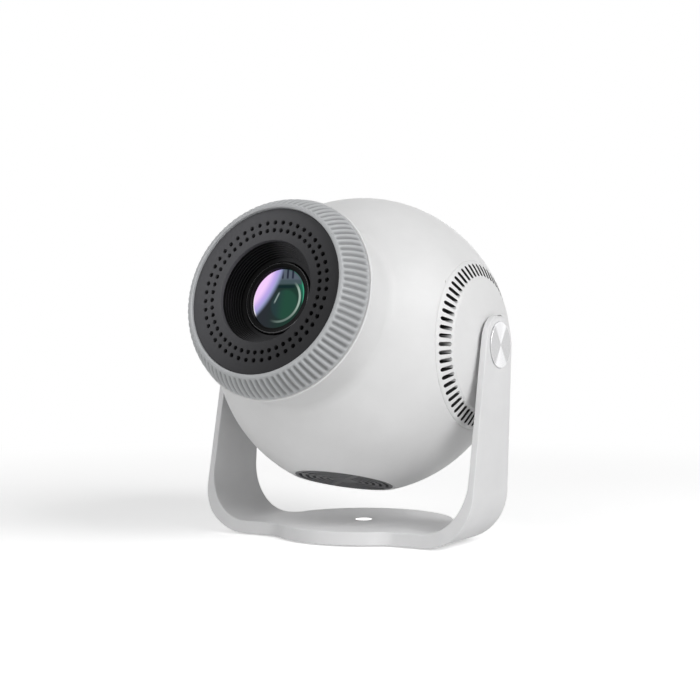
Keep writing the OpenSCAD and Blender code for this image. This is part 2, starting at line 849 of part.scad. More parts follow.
module lens_barrel() color("#1d1d20") in_head() difference() {
    seat_r = lens_r + run_gap;
    step = barrel_front - lens_seat;
    rear_step = barrel_rear + rear_seat;
    groove_low = web_front - key_hub_len - focus_travel - beyond;
    groove_high = web_front + focus_travel + beyond;
    rotate_extrude() polygon([
        [barrel_r, barrel_rear], [barrel_r, barrel_front], [seat_r, barrel_front], [seat_r, step],
        [barrel_bore, step], [barrel_bore, rear_step], [rear_bore, rear_step], [rear_bore, barrel_rear]]);
    for (i = [0:key_count - 1]) rotate(360 * i / key_count)
        translate([barrel_r - key_depth - clear_gap, -key_w / 2 - clear_gap, groove_low])
            cube([key_depth + 2 * beyond, key_w + 2 * clear_gap, groove_high - groove_low]);
}

module lens_trim_ring() color("#232326") in_head()
    rotate_extrude() polygon([
        [glass_r, barrel_front], [trim_r, barrel_front], [trim_r, lens_front - trim_edge],
        [trim_r - trim_edge, lens_front], [glass_r + trim_edge, lens_front],
        [glass_r, lens_front - trim_edge]]);

module front_lens() color([0.45, 0.55, 0.6, 0.6]) in_head() {
    back = barrel_front - lens_seat;
    edge = barrel_front - front_lens_set;
    apex = edge + front_dome_r - sqrt(front_dome_r * front_dome_r - glass_r * glass_r);
    intersection() {
        union() {
            disc(lens_r, back, edge);
            disc(glass_r - fit_gap, back, apex + beyond);
        }
        translate([0, 0, apex - front_dome_r]) sphere(front_dome_r);
    }
}

module middle_lens() color([0.5, 0.6, 0.62, 0.6]) in_head() {
    mid = barrel_rear + barrel_len / 2;
    difference() {
        disc(barrel_bore - run_gap, mid - middle_lens_t / 2, mid + middle_lens_t / 2);
        for (s = [-1, 1]) translate([0, 0, mid + s * (middle_dome_r + middle_waist / 2)])
            sphere(middle_dome_r);
    }
}

module rear_lens() color([0.5, 0.6, 0.62, 0.6]) in_head() intersection() {
    back = barrel_rear + rear_lens_set;
    disc(rear_bore - run_gap, back, barrel_rear + rear_seat);
    translate([0, 0, back + rear_dome_r]) sphere(rear_dome_r);
}

module lens_mount() color("#2f3033") in_head() difference() {
    mount_front = engine_front + mount_t;
    union() {
        block(2 * (mount_screw_x + mount_edge), 2 * (mount_screw_y + mount_edge), engine_front, mount_front);
        disc(tube_r, engine_front, tube_front);
    }
    disc(barrel_r + run_gap, engine_front - beyond, tube_front + beyond);
    mount_screw_places() disc(screw_hole_r, engine_front - beyond, mount_front + beyond);
}

// Light engine

module ribbon_slot_cut(y0, y1) translate([-ribbon_w / 2 - clear_gap, y0, lcd_d - ribbon_slot / 2])
    cube([ribbon_w + 2 * clear_gap, y1 - y0, ribbon_slot]);

module engine_housing() color("#26272a") in_head() difference() {
    front_in = engine_front - front_wall;
    block(engine_w, engine_h, engine_rear, engine_front);
    block(engine_w - 2 * engine_wall, engine_h - 2 * engine_wall, engine_rear - beyond, front_in);
    disc(barrel_r + barrel_clear, front_in - beyond, engine_front + beyond);
    mount_screw_places() disc(screw_hole_r, front_in - beyond, engine_front + beyond);
    ribbon_slot_cut(engine_bottom - beyond, engine_bottom + engine_wall + beyond);
}

// A plate that fills the housing's bore, centred at z
module engine_plate(t, z) block(plate_w, plate_h, z - t / 2, z + t / 2);

module front_fresnel() color([0.7, 0.75, 0.78, 0.5]) in_head() engine_plate(fresnel_t, lcd_d + fresnel_gap);

module rear_fresnel() color([0.7, 0.75, 0.78, 0.5]) in_head() engine_plate(fresnel_t, lcd_d - fresnel_gap);

module lcd_panel() color("#20242c") in_head() engine_plate(lcd_t, lcd_d);

module condenser_lens() color([0.7, 0.75, 0.78, 0.5]) in_head() {
    rim_r = plate_h / 2;
    apex = condenser_back + condenser_h;
    disc(rim_r, condenser_back, condenser_back + condenser_rim_t);
    intersection() {
        disc(rim_r - condenser_rim_w, condenser_back, apex + beyond);
        translate([0, 0, apex - condenser_dome_r]) sphere(condenser_dome_r);
    }
}

module led_board() color("#d9d9d2") in_head() {
    block(led_side, led_side, engine_rear, engine_rear + led_t);
    disc(led_dome_r, engine_rear, engine_rear + led_dome_t);
}

module heat_sink() color("#a9abae") in_head() {
    pitch = (sink_h - fin_t) / (fin_count - 1);
    block(engine_w, sink_h, engine_rear - sink_base_t, engine_rear);
    for (i = [0:fin_count - 1])
        translate([-engine_side, -sink_h / 2 + i * pitch, sink_rear])
            cube([engine_w, fin_t, fin_len + sink_base_t / 2]);
}

module fan_frame() color("#1b1b1d") in_head() translate([0, 0, fan_d]) to_side(1) {
    inner = engine_side;
    outer = engine_side + fan_t;
    hole = fan_side / 2 - fan_hole_inset;
    difference() {
        block(fan_side, fan_side, inner, outer);
        disc(fan_bore_r, inner - beyond, outer + beyond);
        corners(hole, hole) disc(fan_hole_r, inner - beyond, outer + beyond);
    }
    difference() {
        union() {
            disc(fan_motor_r, inner, inner + fan_strut_t);
            for (a = [45:90:315]) rotate(a) translate([fan_motor_r - beyond, -fan_strut_w / 2, inner])
                cube([fan_bore_r - fan_motor_r + 2 * beyond, fan_strut_w, fan_strut_t]);
            disc(fan_boss_r, inner, inner + fan_boss_h);
        }
        disc(shaft_r + run_gap, inner - beyond, inner + fan_boss_h + beyond);
    }
}

module fan_rotor() color("#232325") in_head() translate([0, 0, fan_d]) to_side(1) {
    root_r = rotor_r - rotor_wall / 2;
    difference() {
        disc(rotor_r, rotor_low, rotor_high);
        disc(rotor_r - rotor_wall, rotor_low - beyond, rotor_high - rotor_lid_t);
    }
    disc(shaft_r, engine_side + shaft_set, rotor_high - rotor_lid_t / 2);
    intersection() {
        ring(root_r, blade_tip_r, rotor_low, rotor_high);
        for (i = [0:blade_count - 1]) rotate(360 * i / blade_count)
            translate([root_r - beyond, 0, (rotor_low + rotor_high) / 2]) rotate([blade_pitch, 0, 0])
                translate([0, -blade_chord / 2, -blade_t / 2]) cube([fan_bore_r, blade_chord, blade_t]);
    }
}

// Boards

module chassis_plate() color("#9b9da0") in_head() difference() {
    union() {
        translate([-engine_side, chassis_bottom, chassis_rear])
            cube([engine_w, chassis_t, chassis_front - chassis_rear]);
        for (d = [-post_span, post_span]) translate([-post_x, chassis_bottom, post_mid + d - post_r])
            cube([2 * post_x, chassis_t, 2 * post_r]);
        chassis_post_places() to_up() disc(post_r, chassis_bottom, engine_bottom);
        board_post_places() to_up() disc(board_post_r, board_top, engine_bottom - chassis_t / 2);
    }
    chassis_post_places() to_up() disc(screw_hole_r, chassis_bottom - beyond, engine_bottom + beyond);
    ribbon_slot_cut(chassis_bottom - beyond, engine_bottom + beyond);
}

// A board with square chips, each [x, z, width, length, height], and round capacitors below it
module main_board() color("#1f5b3a") in_head() translate([0, board_top, board_mid]) {
    translate([-board_w / 2, -board_t, -board_len / 2]) cube([board_w, board_t, board_len]);
    for (c = chips) translate([c[0] - c[2] / 2, -board_t - c[4], c[1] - c[3] / 2]) cube([c[2], c[4], c[3]]);
    for (p = capacitor_places) translate([p[0], 0, p[1]]) to_up()
        disc(capacitor_r, -board_t - capacitor_h, -board_t / 2);
}

module lcd_ribbon() color("#c8a13c") in_head()
    translate([-ribbon_w / 2, board_top, lcd_d - ribbon_t / 2])
        cube([ribbon_w, -plate_h / 2 - board_top, ribbon_t]);

// A cone in a basket, with the magnet on top
module speaker() color("#2a2a2c") in_head() to_up() translate([0, 0, speaker_seat]) {
    cone_r = speaker_r - speaker_rim_w;
    magnet_r = speaker_r - speaker_cone_w;
    rotate_extrude() polygon([
        [0, dust_cap_lift], [magnet_r / 3, dust_cap_lift / 2], [cone_r - surround_w, speaker_rim_t],
        [cone_r, 0], [speaker_r, 0], [speaker_r, speaker_rim_t], [cone_r, speaker_rim_t + basket_step],
        [magnet_r, magnet_in], [magnet_r, magnet_out], [0, magnet_out]]);
}

// Rear ports

module port_panel() color("#2c2c2e") in_head() difference() {
    low = port_flat - beyond;
    high = port_flat + panel_t + beyond;
    disc(panel_r, port_flat, port_flat + panel_t);
    at_port(hdmi_at) block(hdmi_size[0] + 2 * clear_gap, hdmi_size[1] + 2 * clear_gap, low, high);
    at_port(usb_at) block(usb_size[0] + 2 * clear_gap, usb_size[1] + 2 * clear_gap, low, high);
    at_port(audio_at) disc(audio_r + clear_gap, low, high);
    at_port(dc_at) disc(dc_r + clear_gap, low, high);
    at_port(button_at) disc(button_r + clear_gap, low, high);
    panel_screw_places() disc(small_screw_r + fit_gap, low, high);
}

module port_board() color("#1f5b3a") in_head() {
    block(port_board_w, port_board_h, port_board_face, port_board_face + board_t);
    at_port(button_at) {
        block(switch_w, switch_h, port_board_face - switch_t, port_board_face);
        disc(switch_pin_r, switch_tip, port_board_face);
    }
}

// A square metal shell on the port board, open at the panel
module shell_socket(size, wall, floor) difference() {
    block(size[0], size[1], port_front, port_board_face);
    block(size[0] - 2 * wall, size[1] - 2 * wall, port_front - beyond, port_board_face - floor);
}

module hdmi_socket() color("#c4c6c9") in_head() at_port(hdmi_at) {
    shell_socket(hdmi_size, hdmi_wall, hdmi_floor);
    block(hdmi_tongue[0], hdmi_tongue[1], port_front + tongue_set, port_board_face - hdmi_floor / 2);
}

module usb_socket() color("#c4c6c9") in_head() at_port(usb_at) {
    shell_socket(usb_size, usb_wall, usb_floor);
    translate([0, usb_tongue_lift, 0])
        block(usb_tongue[0], usb_tongue[1], port_front + tongue_set, port_board_face - usb_floor / 2);
}

// A round jack on the port board, bored from the panel
module jack(outer_r, bore_r) difference() {
    disc(outer_r, port_front, port_board_face);
    disc(bore_r, port_front - beyond, port_board_face - jack_floor);
}

module audio_socket() color("#1c1c1e") in_head() at_port(audio_at) jack(audio_r, audio_bore_r);

module dc_socket() color("#1c1c1e") in_head() at_port(dc_at) {
    jack(dc_r, dc_bore_r);
    disc(dc_pin_r, port_front + tongue_set, port_board_face - jack_floor / 2);
}

module power_button() color("#d4d5d7") in_head() at_port(button_at) {
    face = port_flat - button_proud;
    flange_front = port_flat + panel_t + clear_gap;
    flange_back = flange_front + button_flange_w;
    flange_r = button_r + button_flange_w;
    stem_end = switch_tip - button_travel - clear_gap;
    rotate_extrude() polygon([
        [0, face], [button_r - soft_edge, face], [button_r, face + soft_edge], [button_r, flange_front],
        [flange_r, flange_front], [flange_r, flange_back], [button_stem_r, flange_back],
        [button_stem_r, stem_end], [0, stem_end]]);
}

// Fasteners

module cover_screws() color("#77797d") in_head() cover_screw_places()
    translate([0, 0, cover_seat]) screw(cover_seat_t + screw_bite);

module chassis_screws() color("#77797d") in_head() chassis_post_places()
    translate([0, engine_bottom, 0]) rotate([90, 0, 0]) screw(chassis_t + screw_bite);

module lens_mount_screws() color("#77797d") in_head() mount_screw_places()
    translate([0, 0, engine_front + mount_t]) rotate([180, 0, 0]) screw(mount_screw_len);

module panel_screws() color("#77797d") in_head() panel_screw_places()
    translate([0, 0, port_flat]) screw(small_screw_len, small_screw_r, small_head_r, small_head_t);

bracket_frame();
foot_pad();
tripod_insert();
pivot_cap_left();
pivot_cap_right();
main_shell();
rear_cover();
side_cover_left();
side_cover_right();
bottom_grille();
pivot_bolt_left();
pivot_bolt_right();
friction_washer_left();
friction_washer_right();
focus_ring();
focus_sleeve();
sleeve_retainer();
fascia();
lens_well();
lens_barrel();
lens_trim_ring();
front_lens();
middle_lens();
rear_lens();
lens_mount();
engine_housing();
front_fresnel();
lcd_panel();
rear_fresnel();
condenser_lens();
led_board();
heat_sink();
fan_frame();
fan_rotor();
chassis_plate();
main_board();
lcd_ribbon();
speaker();
port_panel();
port_board();
hdmi_socket();
usb_socket();
audio_socket();
dc_socket();
power_button();
cover_screws();
chassis_screws();
lens_mount_screws();
panel_screws();
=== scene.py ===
from contextlib import contextmanager
from functools import reduce
from math import acos, asin, atan2, copysign, cos, hypot, pi, radians, sin, sqrt

import bmesh
import bpy
from bpy.props import (
    FloatProperty,
    FloatVectorProperty,
    IntProperty,
    PointerProperty,
)
from mathutils import Matrix, Vector


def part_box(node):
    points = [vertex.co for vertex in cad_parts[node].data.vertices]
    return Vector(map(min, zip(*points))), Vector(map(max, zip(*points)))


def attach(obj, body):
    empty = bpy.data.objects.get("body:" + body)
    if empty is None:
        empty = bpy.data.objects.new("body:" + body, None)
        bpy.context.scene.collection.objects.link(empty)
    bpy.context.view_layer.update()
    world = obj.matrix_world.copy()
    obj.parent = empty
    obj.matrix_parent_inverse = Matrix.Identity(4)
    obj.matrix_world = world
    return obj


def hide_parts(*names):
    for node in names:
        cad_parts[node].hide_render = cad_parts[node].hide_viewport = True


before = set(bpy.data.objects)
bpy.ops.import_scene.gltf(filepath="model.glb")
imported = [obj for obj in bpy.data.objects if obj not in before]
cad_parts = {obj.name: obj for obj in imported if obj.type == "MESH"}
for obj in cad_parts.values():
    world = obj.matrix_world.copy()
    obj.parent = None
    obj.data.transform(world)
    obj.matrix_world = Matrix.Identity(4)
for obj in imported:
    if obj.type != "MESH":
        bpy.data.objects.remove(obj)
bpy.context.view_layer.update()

bl_info = {
    "name": "Ball Projector",
    "version": (1, 0, 0),
    "blender": (4, 5, 0),
    "location": "View3D > Sidebar > Projector",
    "description": "Dresses a ball-shaped video projector in its desk bracket",
    "category": "Add Mesh",
}

BRACKET_LOW, BRACKET_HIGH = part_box("bracket_frame")
MM = 0.001
CLOSE = MM / 50
SIDES = ((-1, "left"), (1, "right"))


# Sizes and colours

def length(name, default, description):
    return FloatProperty(name=name, description=description, default=default, unit="LENGTH", precision=5)


def colour(name, default, description):
    return FloatVectorProperty(name=name, description=description, default=default, subtype="COLOR", size=3,
                               min=0.0, max=1.0)


class BallSizes(bpy.types.PropertyGroup):
    """The ball head and the covers on it"""
    radius: length("Ball radius", 0.070, "Outer radius of the ball")
    wall: length("Shell wall", 0.003, "Wall of the ball's shells")
    pivot_height: length("Pivot height", 0.090, "Height of the tilt pivot above the table")
    tilt: FloatProperty(name="Tilt", description="Tilt of the lens above level", default=radians(16), subtype="ANGLE")
    seam_back: length("Rear seam", 0.034, "Distance from the pivot back to the rear cover")
    rear_flat: length("Rear flat", 0.063, "Distance from the pivot back to the flat with the ports")
    bottom_flat: length("Bottom flat", 0.0656, "Distance from the pivot down to the flat with the grille")
    grille_hole: length("Grille hole", 0.023, "Radius of the hole for the bottom grille")
    cover_radius: length("Side cover radius", 0.0384, "Outer radius of a side cover")
    cover_gap: length("Side cover gap", 0.00015, "Gap round a side cover")
    hub_face: length("Pivot face", 0.0669, "Distance from the middle to the flat under the arm")
    hub_radius: length("Pivot face radius", 0.0116, "Radius of the flat under the arm")
    slots: IntProperty(name="Slots", description="Slots in a side cover", default=60, min=12)
    slot_start: length("Slot start", 0.031, "Radius where the slots start")
    slot_end: length("Slot end", 0.037, "Radius where the slots end")
    slot_width: length("Slot width", 0.0018, "Width of a slot")
    edge: length("Soft edge", 0.0004, "Rounding of the shells' edges")


class NoseSizes(bpy.types.PropertyGroup):
    """Collar, focus ring, fascia, well and lens"""
    collar: length("Collar radius", 0.044, "Outer radius of the collar")
    collar_wall: length("Collar wall", 0.003, "Wall of the collar")
    fillet: length("Collar fillet", 0.007, "Radius of the hollow between ball and collar")
    front: length("Collar front", 0.0745, "Distance from the pivot to the collar's front")
    ring_rear: length("Ring rear", 0.075, "Distance from the pivot to the focus ring's rear face")
    ring_front: length("Ring front", 0.0872, "Distance from the pivot to the focus ring's front face")
    ring_radius: length("Ring front radius", 0.0388, "Radius of the ring at its front edge")
    ring_flare: length("Ring flare", 0.0064, "How much wider the ring is at its rear edge")
    ring_bulge: length("Ring bulge", 0.0009, "How far the ring's flank swells from a straight cone")
    lip: length("Ring lip radius", 0.0371, "Inner radius of the ring's bezel")
    bore: length("Ring bore", 0.0386, "Radius of the ring's bore")
    ribs: IntProperty(name="Ribs", description="Grip ribs round the ring", default=90, min=24)
    groove: length("Groove depth", 0.001, "Depth of the grooves between the ribs")
    fascia_front: length("Fascia front", 0.0858, "Distance from the pivot to the fascia's face")
    fascia_thickness: length("Fascia thickness", 0.002, "Thickness of the fascia")
    fascia_radius: length("Fascia radius", 0.0370, "Outer radius of the fascia")
    holes: IntProperty(name="Holes", description="Holes in each ring of the fascia", default=48, min=12)
    hole_radius: length("Hole radius", 0.00105, "Radius of a fascia hole")
    hole_ring_in: length("Inner hole ring", 0.0272, "Radius of the inner ring of holes")
    hole_ring_out: length("Outer hole ring", 0.0307, "Radius of the outer ring of holes")
    well: length("Well radius", 0.0227, "Radius of the well's mouth")
    well_floor: length("Well floor radius", 0.018, "Radius of the well's floor")
    lens_front: length("Lens front", 0.076, "Distance from the pivot to the trim ring's face")
    glass: length("Glass radius", 0.01355, "Radius of the glass inside the trim ring")
    trim: length("Trim radius", 0.0159, "Outer radius of the trim ring")


class BracketSizes(bpy.types.PropertyGroup):
    """The U-shaped bracket"""
    outside: length("Arm outside", BRACKET_HIGH[0], "Distance from the middle to an arm's outer face")
    arm: length("Arm thickness", 0.0031, "Thickness of an arm at the pivot")
    arm_foot: length("Arm foot thickness", 0.0058, "Thickness of an arm above the foot")
    end: length("Arm end radius", 0.0136, "Radius of an arm's round end")
    reach_front: length("Front reach", 0.0315, "Reach of an arm in front of the pivot")
    reach_rear: length("Rear reach", 0.0065, "Reach of an arm behind the pivot")
    knee: length("Knee height", 0.010, "Height where the arm's front edge starts to slope")
    taper: length("Inner bend top", 0.0308, "Height where the inner bend ends and the arm is slim")
    bottom: length("Base bottom", BRACKET_LOW[2], "Height of the base's lower face")
    base: length("Base thickness", 0.0062, "Thickness of the base")
    disc: length("Base radius", 0.043, "Radius of the base disc")
    blend: length("Front blend", 0.014, "Radius of the hollows between the base disc and the front of the arms")
    rear_blend: length("Rear blend", 0.005, "Radius of the hollows between the base disc and the rear of the arms")
    bend: length("Bend radius", 0.023, "Outer radius of the bend from base to arm")
    bend_inside: length("Inner bend radius", 0.018, "Inner radius of the bend from base to arm")
    edge: length("Soft edge", 0.0006, "Rounding of the bracket's edges")
    cap: length("Cap radius", 0.0104, "Radius of a pivot cap")
    cap_thickness: length("Cap thickness", 0.0012, "Thickness of a pivot cap")
    cap_sink: length("Cap sink", 0.0005, "Depth of the cap's seat in the arm")
    pad: length("Foot pad radius", 0.037, "Radius of the rubber foot pad")
    insert: length("Insert radius", 0.003875, "Radius of the tripod insert")


class Finishes(bpy.types.PropertyGroup):
    """Colours of the finishes"""
    shell: colour("Shell", (0.80, 0.80, 0.80), "Matte white moulding of the ball")
    bracket: colour("Bracket", (0.82, 0.82, 0.825), "Matte white moulding of the bracket")
    ring: colour("Focus ring", (0.46, 0.47, 0.48), "Satin grey moulding of the ring")
    fascia: colour("Fascia", (0.048, 0.048, 0.051), "Charcoal moulding round the well")
    well: colour("Well", (0.0016, 0.0016, 0.0018), "Black moulding of the well and lens barrel")
    grille: colour("Grille", (0.14, 0.14, 0.145), "Dark grey moulding of the bottom grille")
    cap: colour("Cap", (0.80, 0.80, 0.81), "Spun aluminium of the pivot caps")
    board: colour("Circuit board", (0.012, 0.11, 0.045), "Green solder mask")
    floor: colour("Floor", (0.90, 0.90, 0.90), "Pale floor under the projector")


# Handwork in edit mode

def clear_desk():
    """Leaves edit mode and deselects everything."""
    if bpy.context.mode != "OBJECT":
        bpy.ops.object.mode_set(mode="OBJECT")
    bpy.ops.object.select_all(action="DESELECT")


def take(obj):
    """Makes a piece the only one selected, and the active one."""
    clear_desk()
    obj.select_set(True)
    bpy.context.view_layer.objects.active = obj


def pick_all():
    bpy.ops.mesh.select_all(action="SELECT")


def open_mesh(obj):
    take(obj)
    bpy.ops.object.mode_set(mode="EDIT")
    pick_all()


def close_mesh():
    bpy.ops.object.mode_set(mode="OBJECT")


@contextmanager
def in_hand():
    """The open mesh as a bmesh, whose changes are shown at the end."""
    mesh = bpy.context.edit_object.data
    yield bmesh.from_edit_mesh(mesh)
    bmesh.update_edit_mesh(mesh)


def pick(test, kind="FACE"):
    """Selects the edges or faces of the open mesh that pass the test."""
    bpy.ops.mesh.select_mode(type=kind)
    bpy.ops.mesh.select_all(action="DESELECT")
    with in_hand() as bm:
        for item in bm.edges if kind == "EDGE" else bm.faces:
            item.select = bool(test(item))
        bm.select_flush_mode()


def tidy_mesh(gap=1e-6):
    """Merges vertices that are within a gap of each other and turns the faces outwards."""
    bpy.ops.mesh.select_mode(type="VERT")
    pick_all()
    bpy.ops.mesh.remove_doubles(threshold=gap)
    bpy.ops.mesh.normals_make_consistent(inside=False)


def pen(name, start):
    """A new mesh that holds one selected vertex, ready to be drawn on."""
    clear_desk()
    bpy.ops.mesh.primitive_plane_add(size=MM)
    obj = bpy.context.object
    obj.name = obj.data.name = name
    open_mesh(obj)
    bpy.ops.mesh.merge(type="CENTER")
    bpy.ops.transform.translate(value=start)
    return obj


def draw(points):
    """Draws on from the selected vertex through the points."""
    bm = bmesh.from_edit_mesh(bpy.context.edit_object.data)
    at = next(v.co.copy() for v in bm.verts if v.select)
    for point in points:
        step = Vector(point) - at
        bpy.ops.mesh.extrude_region_move(TRANSFORM_OT_translate={"value": step})
        at = Vector(point)


def whirl(steps, **settings):
    """Spins the selection once round Z and closes the mesh."""
    bpy.ops.mesh.spin(steps=steps, angle=2 * pi, center=(0, 0, 0), axis=(0, 0, 1), **settings)
    tidy_mesh()
    close_mesh()


def turned(name, profile, steps):
    """A piece turned round Z from a profile of (radius, height)."""
    obj = pen(name, (profile[0][0], 0, profile[0][1]))
    draw([(r, 0, z) for r, z in profile[1:]])
    pick_all()
    whirl(steps)
    return obj


def slab(name, outline, height):
    """A plate with an outline of (x, y), from z 0 up to the height."""
    obj = pen(name, (*outline[0], 0))
    draw([(x, y, 0) for x, y in outline[1:]])
    pick_all()
    bpy.ops.mesh.edge_face_add()
    bpy.ops.mesh.extrude_region_move(TRANSFORM_OT_translate={"value": (0, 0, height)})
    tidy_mesh()
    close_mesh()
    return obj


def copied_round(obj, count):
    """Copies a piece round Z."""
    open_mesh(obj)
    whirl(count, dupli=True)


def rod(name, radius, low, high, at=(0, 0), sides=48):
    """A plain round cutter along Z."""
    clear_desk()
    bpy.ops.mesh.primitive_cylinder_add(
        vertices=sides, radius=radius, depth=high - low, location=(at[0], at[1], (low + high) / 2))
    obj = bpy.context.object
    obj.name = name
    bpy.ops.object.transform_apply(location=True, rotation=True, scale=True)
    return obj


def joined(name, pieces):
    take(pieces[0])
    for piece in pieces[1:]:
        piece.select_set(True)
    bpy.ops.object.join()
    pieces[0].name = pieces[0].data.name = name
    return pieces[0]


def finished_with(obj, kind, **settings):
    """Adds a modifier and applies it."""
    take(obj)
    modifier = obj.modifiers.new(kind.title(), kind)
    for key, value in settings.items():
        setattr(modifier, key, value)
    bpy.ops.object.modifier_apply(modifier=modifier.name)


def softened(obj, width, segments, angle, **settings):
    """Rounds the edges that are sharper than an angle."""
    finished_with(obj, "BEVEL", width=width, segments=segments, limit_method="ANGLE", angle_limit=radians(angle),
                  use_clamp_overlap=False, **settings)


def carved(obj, cutter, operation="DIFFERENCE"):
    """Cuts, joins or trims a piece with another one, which is used up."""
    finished_with(obj, "BOOLEAN", operation=operation, object=cutter, solver="EXACT")
    bpy.data.objects.remove(cutter)


def put(obj, place):
    """Moves a piece to its place and leaves the place in its mesh."""
    take(obj)
    obj.matrix_world = place
    bpy.ops.object.transform_apply(location=True, rotation=True, scale=True)


def smooth(obj, angle):
    take(obj)
    bpy.ops.object.shade_smooth_by_angle(angle=radians(angle))


def dressed(obj, body, slot, finishes, nodes):
    """Gives a piece its finishes and its body, and hides the nodes that it stands for."""
    for finish in finishes:
        obj.data.materials.append(FINISH[finish])
    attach(obj, body)
    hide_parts(*nodes)


def fitted(obj, place, angle, *dress):
    """Puts a piece in its place, smooths it up to an angle and dresses it."""
    put(obj, place)
    smooth(obj, angle)
    dressed(obj, *dress)


def in_head(sizes):
    """The place of the head's own frame: X to the side, Y up, Z along the lens."""
    return Matrix.Translation((0, 0, sizes.pivot_height)) @ Matrix.Rotation(pi / 2 - sizes.tilt, 4, "X")


def sideways(side):
    """The turn that points Z to one side."""
    return Matrix.Rotation(side * pi / 2, 4, "Y")


def reach(radius, far):
    """Half the width of a ball or circle at a distance from its middle."""
    return sqrt(radius ** 2 - far ** 2)


def arc(centre, radius, start, end, count):
    """Points along an arc, angles in degrees."""
    turn = [radians(start + (end - start) * i / count) for i in range(count + 1)]
    return [(centre[0] + radius * cos(t), centre[1] + radius * sin(t)) for t in turn]


# Finishes

class Nodes:
    """A small helper that wires the nodes of a material or of the world."""

    def __init__(self, name, world=False):
        self.owner = (bpy.data.worlds if world else bpy.data.materials).new(name)
        self.owner.use_nodes = True
        self.tree = self.owner.node_tree
        self.shader = self.tree.nodes["Background" if world else "Principled BSDF"]
        self.coords = None if world else self.add("ShaderNodeTexCoord").outputs["Object"]

    def plug(self, value, socket):
        """Links a socket to another one, or sets it to a value."""
        if isinstance(value, bpy.types.NodeSocket):
            self.tree.links.new(value, socket)
        else:
            socket.default_value = value

    def add(self, kind, inputs=None, **settings):
        """A new node with its settings, and with its inputs linked or set."""
        node = self.tree.nodes.new(kind)
        for key, value in settings.items():
            setattr(node, key, value)
        for key, value in (inputs or {}).items():
            self.plug(value, node.inputs[key])
        return node

    def made(self, **sockets):
        """Links or sets the shader's sockets and hands over the material or world."""
        for key, value in sockets.items():
            self.plug(value, self.shader.inputs[key.replace("_", " ")])
        return self.owner

    def noise(self, scale, detail=3.0, rough=0.55):
        inputs = {"Vector": self.coords, "Scale": scale, "Detail": detail, "Roughness": rough}
        return self.add("ShaderNodeTexNoise", inputs).outputs["Fac"]

    def spread(self, value, low, high, start=0.3, end=0.7):
        """Maps a texture's middle range to low and high."""
        inputs = {"Value": value, "From Min": start, "From Max": end, "To Min": low, "To Max": high}
        return self.add("ShaderNodeMapRange", inputs).outputs["Result"]

    def step(self, value, low, high):
        """A soft step from 0 at low to 1 at high."""
        inputs = {"Value": value, "From Min": low, "From Max": high}
        return self.add("ShaderNodeMapRange", inputs, interpolation_type="SMOOTHSTEP").outputs["Result"]

    def over(self, mask, top, under):
        """A colour laid over another one where the mask is 1."""
        under, top = (c if isinstance(c, bpy.types.NodeSocket) else (*c, 1) for c in (under, top))
        return self.add("ShaderNodeMix", {"Factor": mask, 6: under, 7: top}, data_type="RGBA").outputs[2]

    def clouded(self, value, rgb, low, high):
        """A colour that a texture varies between two shares of it."""
        return self.over(self.spread(value, 0, 1), scaled(rgb, high), scaled(rgb, low))

    def math(self, operation, *values):
        """The result of an operation on sockets and numbers."""
        return self.add("ShaderNodeMath", dict(enumerate(values)), operation=operation).outputs[0]

    def length(self, vector):
        return self.add("ShaderNodeVectorMath", {0: vector}, operation="LENGTH").outputs["Value"]

    def across(self, ball, unit):
        """Places across the head's front, to the side and up, counted in a unit."""
        place = self.add("ShaderNodeMapping", {
            "Vector": self.coords, "Location": (0, 0, ball.pivot_height),
            "Rotation": (pi / 2 - ball.tilt, 0, 0), "Scale": (unit,) * 3}, vector_type="TEXTURE")
        parts = self.add("ShaderNodeSeparateXYZ", {0: place.outputs["Vector"]})
        self.u, self.v = parts.outputs["X"], parts.outputs["Y"]

    def towards(self, turn, x=0, y=0):
        """How far a place lies along a direction from a point."""
        a, b = cos(radians(turn)), sin(radians(turn))
        sideways, upwards = self.math("MULTIPLY", self.u, a), self.math("MULTIPLY", self.v, b)
        return self.math("SUBTRACT", self.math("ADD", sideways, upwards), a * x + b * y)

    def bump(self, height, distance, strength):
        inputs = {"Height": height, "Distance": distance, "Strength": strength}
        return self.add("ShaderNodeBump", inputs).outputs["Normal"]

    def seen(self):
        """1 for a ray that shows the thing, straight, in a mirror or through glass."""
        path = self.add("ShaderNodeLightPath").outputs
        shown = self.math("MAXIMUM", path["Is Camera Ray"], path["Is Glossy Ray"])
        return self.math("MAXIMUM", shown, path["Is Transmission Ray"])

    def mixed(self, share, first, second):
        """A shader between two others."""
        return self.add("ShaderNodeMixShader", {0: share, 1: first, 2: second}).outputs[0]


def scaled(rgb, k):
    return tuple(min(1.0, c * k) for c in rgb)


def moulded(name, rgb, rough, grain=1800, depth=0.00003, vary=0.03, **sockets):
    """Moulded plastic: fine spark-eroded grain, faint clouding and patchy gloss."""
    n = Nodes(name)
    return n.made(
        Base_Color=n.clouded(n.noise(scale=38, detail=4), rgb, 1 - vary, 1 + vary),
        Roughness=n.spread(n.noise(scale=260), rough - 0.05, rough + 0.05),
        Normal=n.bump(n.noise(grain, detail=2), depth, strength=0.6),
        **sockets)


def painted_light_moulding(name, bright, dark, ball, unit, turn, low, high, rough):
    """Smooth black moulding with painted light and shade: its base colour runs from a lit tone on one side of the
    nose to a shaded one on the other.
    """
    n = Nodes(name)
    n.across(ball, unit)
    return n.made(
        Base_Color=n.over(n.step(n.towards(turn), low, high), bright, dark),
        Roughness=n.spread(n.noise(scale=260), rough - 0.04, rough + 0.04),
        Normal=n.bump(n.noise(scale=2600, detail=2), distance=0.00002, strength=0.5),
        Specular_IOR_Level=0.12)


